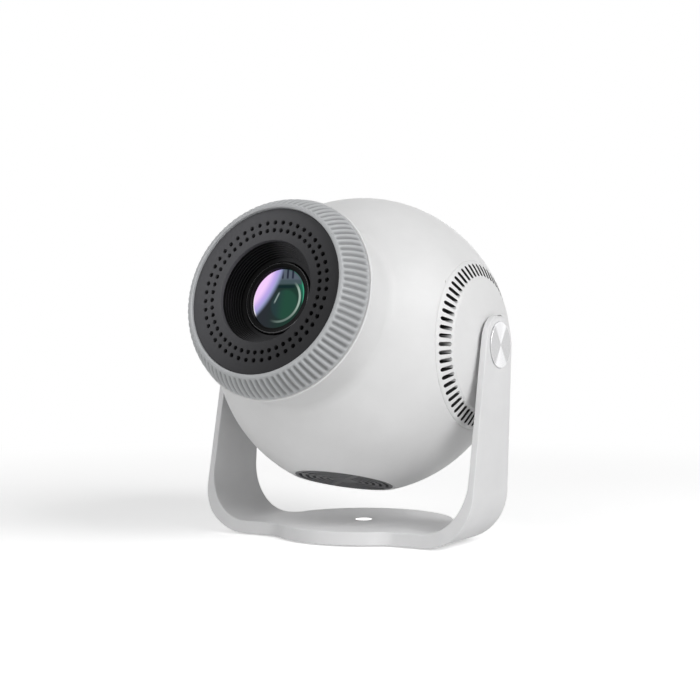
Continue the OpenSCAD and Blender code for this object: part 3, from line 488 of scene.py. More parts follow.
def ribbed(name, rgb):
    """Satin moulding with painted shade in the grooves between its ribs: the base colour darkens to about half with a
    groove's depth, and varies faintly at random on the ribs.
    """
    n = Nodes(name)
    # painted shade: a groove's depth darkens the base colour
    groove = n.add("ShaderNodeAttribute", attribute_name="groove").outputs["Fac"]
    ribs = n.clouded(n.noise(scale=60, detail=4), rgb, 0.98, 1.05)
    return n.made(
        Base_Color=n.over(n.step(groove, 0.15, 1.0), scaled(rgb, 0.52), ribs),
        Roughness=n.spread(n.noise(scale=300), 0.36, 0.46),
        Normal=n.bump(n.noise(scale=2200, detail=2), distance=0.00002, strength=0.6))


def metal(name, rgb, rough, grain=(900, 900, 40), vary=0.06):
    """Drawn or plated metal with streaks along one direction."""
    n = Nodes(name)
    n.coords = n.add("ShaderNodeMapping", {"Vector": n.coords, "Scale": grain}).outputs["Vector"]
    streak = n.noise(scale=1.0)
    return n.made(
        Base_Color=n.clouded(streak, rgb, 1 - vary, 1 + vary),
        Roughness=n.spread(streak, rough - 0.06, rough + 0.08),
        Normal=n.bump(streak, distance=0.00002, strength=0.3),
        Metallic=1.0)


def spun(name, rgb, height):
    """A face turned on a lathe: fine rings round the X axis, with a painted highlight above and below the middle and
    painted shade at the sides.
    """
    n = Nodes(name)
    inputs = {"Vector": n.coords, "Location": (0, 0, -height), "Scale": (0, 1, 1)}
    place = n.add("ShaderNodeMapping", inputs).outputs["Vector"]
    far = n.length(place)
    inputs = {"W": far, "Scale": 9000, "Detail": 3}
    ring = n.add("ShaderNodeTexNoise", inputs, noise_dimensions="1D").outputs["Fac"]
    rise = n.math("ABSOLUTE", n.add("ShaderNodeSeparateXYZ", {0: place}).outputs["Z"])
    upright = n.math("DIVIDE", rise, n.math("MAXIMUM", far, 1e-5))
    # painted highlight above and below the middle, painted shade at the sides
    painted_gleam = n.over(n.step(upright, 0.74, 0.90), scaled(rgb, 1.22), scaled(rgb, 0.78))
    tangent = n.add("ShaderNodeVectorMath", {0: place, 1: (1, 0, 0)}, operation="CROSS_PRODUCT")
    return n.made(
        Base_Color=n.over(n.spread(ring, 0, 0.25), scaled(rgb, 0.9), painted_gleam),
        Roughness=n.spread(ring, 0.2, 0.32),
        Tangent=tangent.outputs["Vector"],
        Normal=n.bump(ring, distance=0.00001, strength=0.25),
        Metallic=1.0, Anisotropic=0.85)


def clear(name, rgb, rough=0.02):
    """Glass with a faint sleek of polish."""
    n = Nodes(name)
    polish = n.spread(n.noise(scale=60, detail=2), rough, rough + 0.015)
    return n.made(Base_Color=(*rgb, 1), Roughness=polish, Transmission_Weight=1.0, IOR=1.52)


def solder_mask(name, rgb):
    """A printed board: mask over copper tracks."""
    n = Nodes(name)
    inputs = {"Vector": n.coords, "Scale": 260, "Mortar Size": 0.06}
    tracks = n.add("ShaderNodeTexBrick", inputs).outputs["Fac"]
    return n.made(
        Base_Color=n.over(tracks, scaled(rgb, 1.7), rgb),
        Roughness=n.spread(n.noise(scale=300), 0.3, 0.45),
        Normal=n.bump(tracks, distance=0.00003, strength=0.5))


FINISH = {}


def mix_finishes(c, ball, nose):
    """Makes every finish once."""
    fine = {"grain": 2600, "depth": 0.00002, "vary": 0.1}
    FINISH.update(
        shell=moulded("matte white shell", c.shell, 0.5),
        bracket=moulded("matte white bracket", c.bracket, 0.62, Specular_IOR_Level=0.25),
        # painted shade: black for the insides of the side covers, standing for the dark inside the ball
        inner=moulded("black painted shade lining", (0.012, 0.012, 0.012), 0.8, vary=0.1),
        ring=ribbed("satin grey ring", c.ring),
        # painted sheen: the fascia is lighter at the upper left and darker at the lower right
        fascia=painted_light_moulding("charcoal fascia", scaled(c.fascia, 2.0), scaled(c.fascia, 0.5), ball, nose.fascia_radius,
                      150, -1.0, 1.0, 0.45),
        # painted light: the well's wall is lit grey at the right and black at the left
        well=painted_light_moulding("black lens well", scaled(c.fascia, 0.75), c.well, ball, nose.well, -12, -0.42, 0.05, 0.5),
        barrel=moulded("black lens barrel", c.well, 0.5, **fine, Specular_IOR_Level=0.12),
        trim=moulded("lighter grey trim edge", (0.14, 0.14, 0.145), 0.3, **fine),
        black=moulded("black moulding", (0.02, 0.02, 0.021), 0.45, vary=0.1),
        grille=moulded("dark grey grille", c.grille, 0.5),
        button=moulded("grey button", scaled(c.shell, 0.72), 0.4),
        rubber=moulded("foot rubber", (0.03, 0.03, 0.031), 0.75, grain=1200, depth=0.0001, vary=0.15),
        fibre=moulded("washer fibre", (0.06, 0.06, 0.062), 0.8, grain=900, depth=0.0001, vary=0.2),
        film=moulded("amber ribbon", (0.42, 0.22, 0.03), 0.35, vary=0.08),
        ceramic=moulded("white metal-core board", (0.78, 0.78, 0.74), 0.4),
        cap=spun("spun aluminium", c.cap, ball.pivot_height),
        alloy=metal("mill aluminium", (0.62, 0.63, 0.64), 0.38),
        steel=metal("plated steel", (0.55, 0.555, 0.56), 0.3),
        nickel=metal("nickel plating", (0.80, 0.79, 0.77), 0.22, grain=(700, 700, 700)),
        board=solder_mask("solder mask", c.board),
        glass=clear("clear optics", (0.92, 0.96, 0.97)),
        panel=clear("dark panel glass", (0.05, 0.06, 0.08), 0.06),
        coated=coated_glass("coated front lens", ball, nose),
    )


def coated_glass(name, ball, nose):
    """The front lens: dark green glass with painted reflections, tinted as its coating shows them: a pink and lilac
    crescent with a white edge at one side, and bright rings from the lenses inside.

    Places are counted in the glass's radius, u to the side and v up.
    """
    n = Nodes(name)
    n.across(ball, nose.glass)
    u, v, step, towards = n.u, n.v, n.step, n.towards

    def far(x, y):
        """Distance from a point."""
        squares = [n.math("POWER", n.math("SUBTRACT", place, middle), 2) for place, middle in ((u, x), (v, y))]
        return n.math("SQRT", n.math("ADD", *squares))

    def line(distance, at, wide):
        """A soft line where a distance has one value."""
        return step(n.math("ABSOLUTE", n.math("SUBTRACT", distance, at)), wide, wide * 0.35)

    def where(*masks):
        return reduce(lambda one, other: n.math("MULTIPLY", one, other), masks)

    def lay(rgb, *masks):
        """Lays a colour over the glass where every mask is 1."""
        nonlocal glass
        glass = n.over(where(*masks), rgb, glass)

    rim, inner, reflection_crescent_far = far(0, 0), far(0.28, -0.22), far(-2.15, 1.13)
    glass = n.over(step(u, -0.5, 0.6), (0.014, 0.042, 0.030), (0.024, 0.028, 0.034))
    # painted highlight: a green glint at the upper right; painted reflections: two pale bands at the top
    lay((0.020, 0.150, 0.095), step(towards(35), 0.55, 0.95), step(rim, 0.68, 0.92))
    lay((0.062, 0.092, 0.104), step(v, 0.40, 0.50), step(rim, 1.02, 0.9))
    lay((0.095, 0.118, 0.150), step(v, 0.56, 0.66), step(rim, 1.02, 0.92))
    # dark slanting bars in the upper band and a dark line under the lower one
    slope, first, pitch = 0.167, 0.174, 0.19
    slant = n.math("ADD", u, n.math("MULTIPLY", v, slope))
    bars = n.math("COSINE", n.math("MULTIPLY", n.math("SUBTRACT", slant, first), 2 * pi / pitch))
    lay((0.019, 0.024, 0.042),
        step(bars, -0.2, 0.9), step(v, 0.60, 0.68), step(slant, 0.08, 0.12), step(slant, 0.66, 0.6))
    lay((0.0075, 0.023, 0.025), line(v, 0.37, 0.075), step(u, -0.2, 0.0), step(u, 0.66, 0.5))
    # the lens behind, painted on, with a short painted highlight streak and a bright painted reflected arc
    lay(n.over(step(u, -0.1, 0.35), (0.019, 0.070, 0.046), (0.022, 0.044, 0.048)), step(inner, 0.54, 0.42))
    streak, bow = (-0.02, 0.0), (0.1, -0.06)
    along = n.math("ABSOLUTE", towards(68, *streak))
    lay((0.24, 0.30, 0.29), line(towards(158, *streak), 0, 0.04), step(along, 0.23, 0.12))
    bright = n.over(step(v, -0.8, -0.1), (0.36, 0.46, 0.40), (0.14, 0.19, 0.17))
    lay(bright, line(far(*bow), 0.72, 0.05), step(towards(-30, *bow), 0.05, 0.45))
    # painted reflections: a green line at the right edge, and the lilac crescent with a white edge at the left
    lay((0.06, 0.36, 0.22), line(rim, 0.95, 0.04), step(towards(10), 0.85, 0.93))
    lilac_reflection = n.over(step(reflection_crescent_far, 2.16, 1.96), (0.48, 0.38, 0.80), (0.30, 0.34, 0.56))
    lilac_reflection = n.over(step(reflection_crescent_far, 2.0, 1.70), (0.91, 0.62, 0.98), lilac_reflection)
    lilac_reflection = n.over(where(step(rim, 0.90, 0.97), step(v, 0.35, 0.05)), (1.0, 0.97, 1.0), lilac_reflection)
    lay(lilac_reflection, step(reflection_crescent_far, 2.27, 2.06))
    # full metal with a flat normal shows the painted reflections at about their written colour in the white
    # surroundings
    flat = n.add("ShaderNodeVectorTransform", {0: (0, -cos(ball.tilt), sin(ball.tilt))},
                 vector_type="NORMAL", convert_from="OBJECT", convert_to="WORLD")
    return n.made(Base_Color=glass, Roughness=n.spread(n.noise(scale=80, detail=2), 0.03, 0.06),
                  Normal=flat.outputs[0], Metallic=1.0)


# Pieces

class PROJECTOR_OT_stage(bpy.types.Operator):
    """Sets the floor, the soft lamps, the pale surroundings and the camera"""
    bl_idname = "projector.stage"
    bl_label = "Stage"

    def execute(self, context):
        scene = context.scene
        ball, finishes = scene.projector_ball, scene.projector_finishes
        scene.view_settings.view_transform = "Standard"
        clear_desk()
        bpy.ops.mesh.primitive_plane_add(size=8)
        floor = context.object
        floor.name = "floor"
        n = Nodes("pale floor")
        plain = n.shader.outputs[0]
        glow = n.add("ShaderNodeEmission", {"Strength": 0.5}).outputs[0]
        white = n.add("ShaderNodeEmission").outputs[0]
        near = n.add("ShaderNodeAddShader", {0: plain, 1: glow}).outputs[0]
        # the floor turns pure white between these distances from the projector
        pale, gone = 0.16, 0.6
        shown = n.mixed(n.step(n.length(n.coords), pale, gone), near, white)
        n.plug(n.mixed(n.seen(), plain, shown), n.tree.nodes["Material Output"].inputs["Surface"])
        tone = n.over(n.noise(scale=3), finishes.floor, scaled(finishes.floor, 0.99))
        floor.data.materials.append(n.made(Base_Color=tone, Roughness=0.9, Specular_IOR_Level=0.0))

        # the surroundings look white but light the projector only faintly
        n = Nodes("pale surroundings", world=True)
        faint, full = 0.10, 1.0
        scene.world = n.made(Color=(1, 1, 1, 1), Strength=n.spread(n.seen(), faint, full, start=0, end=1))

        for name, at, size, power in (
            ("key lamp", (1.12, -0.28, 0.80), 0.7, 11.9),
            ("top lamp", (-0.50, -0.45, 1.05), 0.9, 1.9),
            ("front lamp", (-0.10, -1.18, 0.26), 0.7, 3.8),
            ("rear lamp", (-0.60, 1.15, 0.22), 0.7, 3.0),
        ):
            clear_desk()
            bpy.ops.object.light_add(type="AREA", location=at)
            lamp = context.object
            lamp.name = name
            lamp.data.size = size
            lamp.data.energy = power
            aim = Vector((0, 0, ball.pivot_height)) - Vector(at)
            lamp.rotation_euler = aim.to_track_quat("-Z", "Y").to_euler()

        # the camera fitted to the photo: its direction, then sizes in pixels and its distance in metres
        around, above, roll = radians(30.81), radians(0.423), radians(-0.283)
        focal, frame_px, away, seen_at, film = 1306.8, 700, 0.6252, (362.76, 345.25), 36
        back = Vector((sin(around) * cos(above), -cos(around) * cos(above), sin(above)))
        right = Vector((cos(around), sin(around), 0))
        up = back.cross(right)
        across = right * cos(roll) + up * sin(roll)
        upright = up * cos(roll) - right * sin(roll)
        half = frame_px / 2
        at = (Vector((0, 0, ball.pivot_height)) + back * away
              - across * ((seen_at[0] - half) / focal * away) + upright * ((seen_at[1] - half) / focal * away))
        clear_desk()
        bpy.ops.object.camera_add()
        camera = context.object
        camera.matrix_world = Matrix.Translation(at) @ Matrix((across, upright, back)).transposed().to_4x4()
        camera.data.sensor_fit = "HORIZONTAL"
        camera.data.sensor_width = film
        camera.data.lens = film * focal / frame_px
        camera.data.clip_start = 0.01
        scene.camera = camera
        return {"FINISHED"}


class PROJECTOR_OT_bracket(bpy.types.Operator):
    """Models the bracket: a base plate whose ends are drawn out along the bends and up the arms"""
    bl_idname = "projector.bracket"
    bl_label = "Bracket"

    def execute(self, context):
        s = context.scene.projector_bracket
        pivot = context.scene.projector_ball.pivot_height
        foot_x = s.outside - s.arm_foot - s.bend_inside
        top = s.bottom + s.base
        q, w = s.blend, s.rear_blend
        front = (sqrt((s.disc + q) ** 2 - (s.reach_front + q) ** 2), -s.reach_front - q)
        rear = (sqrt((s.disc + w) ** 2 - (s.reach_rear + w) ** 2), s.reach_rear + w)
        front_turn = atan2(front[1], front[0]) * 180 / pi
        rear_turn = atan2(rear[1], rear[0]) * 180 / pi
        seam = 88  # where the outline's halves meet, in degrees from the side
        half = (arc((0, 0), s.disc, -seam, front_turn, 40)
                + arc(front, q, front_turn + 180, 90, 16)[1:]
                + [(foot_x, -s.reach_front), (foot_x, s.reach_rear)]
                + arc(rear, w, -90, rear_turn - 180, 12)
                + arc((0, 0), s.disc, rear_turn, seam, 48)[1:])
        outline = half + [(-x, y) for x, y in reversed(half)]
        obj = slab("bracket", outline, s.base)
        put(obj, Matrix.Translation((0, 0, s.bottom)))

        # the arm's edges seen from the side leave its round end at a tangent
        def tangent(point, side):
            y, z = point[0], point[1] - pivot
            turn = atan2(z, y) + side * acos(s.end / hypot(y, z))
            return s.end * cos(turn), pivot + s.end * sin(turn)

        knee = (-s.reach_front, s.knee)
        heel = (s.reach_rear, s.bottom)
        front_touch, rear_touch = tangent(knee, -1), tangent(heel, 1)

        def edges(z):
            """The arm's front and rear edge at a height."""
            rim = reach(s.end, z - pivot) if abs(z - pivot) < s.end else 0
            ahead = -s.reach_front
            if z > front_touch[1]:
                ahead = -rim
            elif z > s.knee:
                ahead += (front_touch[0] - knee[0]) * (z - s.knee) / (front_touch[1] - s.knee)
            behind = rim
            if z <= rear_touch[1]:
                behind = heel[0] + (rear_touch[0] - heel[0]) * (z - s.bottom) / (rear_touch[1] - s.bottom)
            return ahead, behind

        outer = [(foot_x, s.bottom)] + arc((s.outside - s.bend, s.bottom + s.bend), s.bend, -90, 0, 16)
        slim = s.outside - s.arm
        inner = [(foot_x, top)] + [(foot_x + (slim - foot_x) * x, s.taper + (s.taper - top) * z)
                                   for x, z in arc((0, 0), 1, -90, 0, 16)]
        # lines across an arm: above the bend, at the tangents and round the end, up to just below its top
        above, tip = 4 * MM, 2e-6
        levels = [s.taper + above, front_touch[1], rear_touch[1], pivot + s.end - tip]
        levels += [pivot + s.end * sin(radians(t)) for t in range(-6, 84, 6)]
        for z in sorted(levels):
            outer.append((s.outside, z))
            inner.append((slim, z))
        arms = [self.arm(outer, inner, side, edges) for side in (1, -1)]
        obj = joined("bracket", [obj] + arms)
        open_mesh(obj)
        # the faces between base and arms go, and the two are welded
        sideward, near, weld = 0.9, MM / 100, 2e-5
        pick(lambda f: abs(f.normal.x) > sideward and abs(abs(f.calc_center_median().x) - foot_x) < near)
        bpy.ops.mesh.delete(type="FACE")
        tidy_mesh(weld)
        close_mesh()
        softened(obj, s.edge, segments=3, angle=38, miter_outer="MITER_ARC")
        fit, cap_fit, flange, beyond = 0.1 * MM, 0.25 * MM, 6.6 * MM, 10 * MM
        pad_sink, flange_sink = 0.6 * MM, 1.6 * MM
        cutters = [
            rod("pad seat", s.pad + fit, -MM, s.bottom + pad_sink, sides=128),
            rod("flange seat", flange, 0, s.bottom + flange_sink, sides=64),
            rod("insert seat", s.insert + fit, 0, beyond, sides=64),
        ]
        for side in (1, -1):
            seat = rod("cap seat", s.cap + cap_fit, s.outside - s.cap_sink, s.outside + beyond, sides=96)
            put(seat, Matrix.Translation((0, 0, pivot)) @ sideways(side))
            cutters.append(seat)
        carved(obj, joined("seats", cutters))
        smooth(obj, 30)
        finished_with(obj, "WEIGHTED_NORMAL", keep_sharp=True)
        dressed(obj, "bracket", "bracket_white", ["bracket"], ["bracket_frame"])
        return {"FINISHED"}

    @staticmethod
    def arm(outer, inner, side, edges):
        """An arm drawn as a ribbon from its outer to its inner line, then widened to its two edges."""
        obj = pen("arm", (side * outer[0][0], 0, outer[0][1]))
        draw([(side * x, 0, z) for x, z in outer[1:]])
        pick_all()
        bpy.ops.mesh.extrude_region_move()
        with in_hand() as bm:
            across = sorted((v for v in bm.verts if v.select), key=lambda v: min(
                range(len(outer)), key=lambda i: hypot(abs(v.co.x) - outer[i][0], v.co.z - outer[i][1])))
            for v, (x, z) in zip(across, inner):
                v.co = (side * x, 0, z)
        pick_all()
        bpy.ops.mesh.extrude_region_move()
        with in_hand() as bm:
            for v in bm.verts:
                v.co.y = edges(v.co.z)[1 if v.select else 0]
        tidy_mesh()
        close_mesh()
        return obj


class PROJECTOR_OT_pivot_caps(bpy.types.Operator):
    """Turns the two spun caps over the pivot bolts"""
    bl_idname = "projector.pivot_caps"
    bl_label = "Pivot caps"

    def execute(self, context):
        s = context.scene.projector_bracket
        pivot = context.scene.projector_ball.pivot_height
        back = s.outside - s.cap_sink
        face = back + s.cap_thickness
        edge, border, dish = 0.35 * MM, 1.2 * MM, 0.03 * MM
        profile = ([(0, back), (s.cap, back)]
                   + arc((s.cap - edge, face - edge), edge, 0, 90, 5)
                   + [(s.cap - border, face - dish), (0, face - 3 * dish)])
        for side, name in SIDES:
            obj = turned(f"spun_cap_{name}", profile, 128)
            fitted(obj, Matrix.Translation((0, 0, pivot)) @ sideways(side), 40, "bracket", "spun_aluminium",
                   ["cap"], [f"pivot_cap_{name}"])
        return {"FINISHED"}


def ball_skin(name, ball, keep_front):
    """A ball cut at the side openings and the rear seam, as a skin without thickness."""
    clear_desk()
    bpy.ops.mesh.primitive_uv_sphere_add(segments=224, ring_count=112, radius=ball.radius)
    obj = bpy.context.object
    obj.name = obj.data.name = name
    open_mesh(obj)
    side = side_opening(ball)[1]
    for way in (1, -1):
        cut_off((way * side, 0, 0), (way, 0, 0))
    cut_off((0, 0, -ball.seam_back), (0, 0, -1 if keep_front else 1))
    return obj


def side_opening(ball):
    """The radius of a side opening and how far its rim is from the ball's middle."""
    radius = ball.cover_radius + ball.cover_gap
    return radius, reach(ball.radius, radius)


def walled(obj, ball):
    """Merges short edges, sets the rims of the side openings back on their circles and gives the skin a wall."""
    short, near = 0.12 * MM, 0.2 * MM
    tidy_mesh(short)
    opening, side = side_opening(ball)
    with in_hand() as bm:
        for v in bm.verts:
            if v.is_boundary and abs(abs(v.co.x) - side) < near and abs(v.co.z + ball.seam_back) > MM:
                v.co.x = copysign(side, v.co.x)
                v.co.yz *= opening / hypot(v.co.y, v.co.z)
    close_mesh()
    finished_with(obj, "SOLIDIFY", thickness=ball.wall, offset=-1, use_even_offset=False)


def cut_off(at, away):
    """Cuts the open mesh at a plane and drops what lies beyond it."""
    bpy.ops.mesh.select_mode(type="VERT")
    pick_all()
    bpy.ops.mesh.bisect(plane_co=at, plane_no=away, clear_outer=True, threshold=1e-7)


def on_rim(test):
    """Selects the open edges whose middle passes the test."""
    pick(lambda e: e.is_boundary and test((e.verts[0].co + e.verts[1].co) / 2), "EDGE")


def drawn_out(profile, axis="z"):
    """Draws the selected rim on through a profile of (radius, place along the axis)."""
    for (r0, z0), (r1, z1) in zip(profile, profile[1:]):
        step = (0, 0, z1 - z0) if axis == "z" else (0, z1 - z0, 0)
        bpy.ops.mesh.extrude_region_move(TRANSFORM_OT_translate={"value": step})
        k = r1 / r0
        bpy.ops.transform.resize(value=(k, k, 1) if axis == "z" else (k, 1, k), center_override=(0, 0, 0))


class PROJECTOR_OT_ball_shell(bpy.types.Operator):
    """Models the front shell: a cut ball with its wall, drawn out into the collar"""
    bl_idname = "projector.ball_shell"
    bl_label = "Ball shell"

    def execute(self, context):
        b, s = context.scene.projector_ball, context.scene.projector_nose
        obj = ball_skin("ball_shell", b, True)
        q = s.fillet
        centre = (s.collar + q, sqrt((b.radius + q) ** 2 - (s.collar + q) ** 2))
        touch = (centre[0] * b.radius / (b.radius + q), centre[1] * b.radius / (b.radius + q))
        cut_off((0, 0, touch[1]), (0, 0, 1))
        cut_off((0, -b.bottom_flat, 0), (0, -1, 0))
        on_rim(lambda p: abs(p.y + b.bottom_flat) < CLOSE)
        flat = reach(b.radius, b.bottom_flat)
        drawn_out([(flat, -b.bottom_flat), (b.grille_hole, -b.bottom_flat)], "y")
        walled(obj, b)
        open_mesh(obj)
        # the end of the wall is opened at the front, and its outer rim is drawn on into the collar
        ahead, across = touch[1] * 0.93, 0.5
        pick(lambda f: f.calc_center_median().z > ahead
             and abs(f.normal.dot(f.calc_center_median().normalized())) < across)
        bpy.ops.mesh.delete(type="ONLY_FACE")
        on_rim(lambda p: abs(p.z - touch[1]) < CLOSE)
        inner = 1 - b.wall / b.radius
        start = atan2(-centre[1], -centre[0]) * 180 / pi + 360
        proud, deep, edge, weld = 1.6 * MM, 1.4 * MM, 0.35 * MM, 0.02 * MM
        rim, back, bore = s.collar + proud, s.front - deep, s.collar - s.collar_wall
        drawn_out([touch] + arc(centre, q, start, 180, 14)[1:]
                  + [(s.collar, back - MM)]
                  + arc((rim - edge, back + edge * 0.4), edge, -40, 0, 3)
                  + arc((rim - edge, s.front - edge), edge, 0, 90, 5)
                  + [(bore, s.front), (bore, touch[1]), (touch[0] * inner, touch[1] * inner)])
        tidy_mesh(weld)
        close_mesh()
        softened(obj, b.edge, segments=2, angle=50)
        fitted(obj, in_head(b), 35, "head", "shell_white", ["shell"], ["main_shell"])
        return {"FINISHED"}


class PROJECTOR_OT_rear_cover(bpy.types.Operator):
    """Models the rear cover with its flat for the ports and its screw wells"""
    bl_idname = "projector.rear_cover"
    bl_label = "Rear cover"

    def execute(self, context):
        b = context.scene.projector_ball
        obj = ball_skin("rear_shell", b, False)
        cut_off((0, 0, -b.rear_flat), (0, 0, -1))
        on_rim(lambda p: abs(p.z + b.rear_flat) < CLOSE)
        flat = reach(b.radius, b.rear_flat)
        panel_seat = 29.15 * MM
        drawn_out([(flat, -b.rear_flat), (panel_seat, -b.rear_flat)])
        walled(obj, b)
        softened(obj, b.edge, segments=2, angle=50)
        # radius, back and front of the screw bosses and of the wells in them
        boss, well, ring = (5 * MM, -60 * MM, -34.1 * MM), (3.2 * MM, -70 * MM, -37 * MM), 55 * MM
        places = [(ring * cos(radians(t)), ring * sin(radians(t))) for t in (60, 120, 240, 300)]
        bosses = joined("bosses", [rod("boss", *boss, at) for at in places])
        clear_desk()
        bpy.ops.mesh.primitive_uv_sphere_add(segments=96, ring_count=48, radius=b.radius - MM)
        carved(bosses, context.object, "INTERSECT")
        carved(obj, bosses, "UNION")
        carved(obj, joined("screw wells", [rod("well", *well, at) for at in places]))
        fitted(obj, in_head(b), 35, "head", "shell_white", ["shell"], ["rear_cover"])
        return {"FINISHED"}


class PROJECTOR_OT_side_covers(bpy.types.Operator):
    """Turns the side covers and cuts their ring of round-ended slots"""
    bl_idname = "projector.side_covers"
    bl_label = "Side covers"

    def execute(self, context):
        b = context.scene.projector_ball
        edge = b.edge

        def on(radius, r):
            return r, reach(radius, r)

        # the dome inside the slots stands a small step above the ball
        margin, step = 0.7 * MM, 0.3 * MM
        land = b.slot_start - margin
        foot, hub = on(b.radius, land), (b.hub_radius, b.hub_face)
        rim = (land - step, foot[1] + step)
        centre = (rim[0] ** 2 + rim[1] ** 2 - hub[0] ** 2 - hub[1] ** 2) / (2 * (rim[1] - hub[1]))
        dome = hypot(rim[0], rim[1] - centre)
        bolt, fit, thick = 2.55 * MM, 0.1 * MM, 2.6 * MM
        lining = b.radius - b.wall - thick
        flange = b.radius - b.wall - fit
        out, wide = b.cover_radius, b.cover_radius + 3 * MM
        profile = [(bolt, b.hub_face), hub]
        profile += [(r, centre + reach(dome, r))
                    for r in (hub[0] + (rim[0] - hub[0]) * i / 16 for i in range(1, 17))]
        profile += [(rim[0] + 0.6 * step, rim[1] - 0.25 * step), (foot[0], foot[1] + 0.35 * step)]
        profile += [on(b.radius, foot[0] + (out - edge - foot[0]) * i / 8) for i in range(1, 9)]
        tip = on(b.radius, out)[1]
        profile += [(out - edge * 0.3, tip - edge * 0.25), (out, tip - edge), on(flange, out)]
        profile += [on(flange, wide), on(lining, wide)]
        profile += [on(lining, wide + (bolt - wide) * i / 12) for i in range(1, 13)]
        profile.append(profile[0])
        for side, name in SIDES:
            obj = turned(f"slotted_cover_{name}", profile, 240)
            slot = self.slot_cutter(b)
            copied_round(slot, b.slots)
            carved(obj, slot)
            # painted shade: the lining and the slots' walls are black to stand for the shade inside the ball, apart
            # from the walls at the slots' inner ends
            upright, outward = 0.3, 0.6
            for face in obj.data.polygons:
                at, facing = face.center, face.normal
                far = hypot(at.x, at.y)
                wall = abs(facing.z) < upright and b.slot_start - fit < far < b.slot_end + fit
                inner_end = (at.x * facing.x + at.y * facing.y) / far > outward
                face.material_index = int(at.length < lining + 2 * fit or (wall and not inner_end))
            fitted(obj, in_head(b) @ sideways(side), 35, "head", "shell_white",
                   ["shell", "inner"], [f"side_cover_{name}"])
        return {"FINISHED"}

    @staticmethod
    def slot_cutter(b):
        """A round-ended slot, tall enough to cut through a cover."""
        half = b.slot_width / 2
        turn = 180 / b.slots
        near = arc((b.slot_start + half, 0), half, 90, 270, 8)
        far = arc((b.slot_end - half, 0), half, -90, 90, 8)
        cutter = slab("slot", near + far, b.radius)
        put(cutter, Matrix.Rotation(radians(turn), 4, "Z") @ Matrix.Translation((0, 0, b.radius / 2)))
        return cutter


class PROJECTOR_OT_focus_ring(bpy.types.Operator):
    """Turns the focus ring and presses the grooves between its ribs"""
    bl_idname = "projector.focus_ring"
    bl_label = "Focus ring"

    def execute(self, context):
        b, s = context.scene.projector_ball, context.scene.projector_nose
        depth = s.ring_front - s.ring_rear
        edge, bezel, soft = 0.5 * MM, 0.8 * MM, 0.1 * MM
        # the flank is a shallow arc between the front and the rear edge
        chord = hypot(s.ring_flare, depth)
        bow = chord ** 2 / (8 * s.ring_bulge) + s.ring_bulge / 2
        half = asin(chord / (2 * bow))
        facing = atan2(s.ring_flare, depth)
        sunk = bow - s.ring_bulge
        centre = (s.ring_radius + s.ring_flare / 2 - sunk * cos(facing),
                  (s.ring_front + s.ring_rear) / 2 - sunk * sin(facing))
        stops = [0.04, 0.075, 0.11, 0.16, 0.25, 0.34, 0.43, 0.52, 0.61, 0.70, 0.79, 0.85, 0.89, 0.925, 0.96]
        turns = [facing + half * (1 - 2 * stop) for stop in stops]
        flank = [(centre[0] + bow * cos(turn), centre[1] + bow * sin(turn)) for turn in turns]
        seat = s.fascia_front - s.fascia_thickness
        widest = s.ring_radius + s.ring_flare
        profile = ([(s.bore, s.ring_rear), (s.bore, seat), (s.lip, seat)]
                   + arc((s.lip + edge, s.ring_front - edge), edge, 180, 90, 5)
                   + [(s.ring_radius - bezel, s.ring_front), (s.ring_radius - soft, s.ring_front - soft / 2)]
                   + flank
                   + [(widest - edge / 2, s.ring_rear + soft), (widest - edge, s.ring_rear), (s.bore, s.ring_rear)])
        across = 8
        obj = turned("ribbed_focus_ring", profile, s.ribs * across)
        # how deep each line of the rib's pitch lies, and how the grooves fade in along the flank
        section = [0.0, 0.12, 0.5, 0.88, 1.0, 0.88, 0.5, 0.12]
        fade = {0: 0.25, 1: 0.65, 2: 0.9, 12: 0.9, 13: 0.65, 14: 0.3}
        open_mesh(obj)
        deep, near = {}, MM / 200
        with in_hand() as bm:
            for v in bm.verts:
                far = hypot(v.co.x, v.co.y)
                out, ahead = far - centre[0], v.co.z - centre[1]
                if out > 0 and abs(hypot(out, ahead) - bow) < near:
                    turn = atan2(ahead, out)
                    stop = min(range(len(stops)), key=lambda i: abs(turns[i] - turn))
                    line = round(atan2(v.co.y, v.co.x) / (2 * pi) * s.ribs * across) % across
                    deep[v.index] = section[line] * fade.get(stop, 1.0)
                    sink = 1 - deep[v.index] * s.groove / bow
                    v.co.xy *= (centre[0] + out * sink) / far
                    v.co.z = centre[1] + ahead * sink
        pick_all()
        bpy.ops.mesh.normals_make_consistent(inside=False)
        close_mesh()
        # the grooves' depth is kept for the ring's finish, which paints shade into them
        marks = obj.data.attributes.new("groove", "FLOAT", "POINT")
        for index, share in deep.items():
            marks.data[index].value = share
        fitted(obj, in_head(b), 50, "focus_ring", "ring_grey", ["ring"], ["focus_ring"])
        return {"FINISHED"}


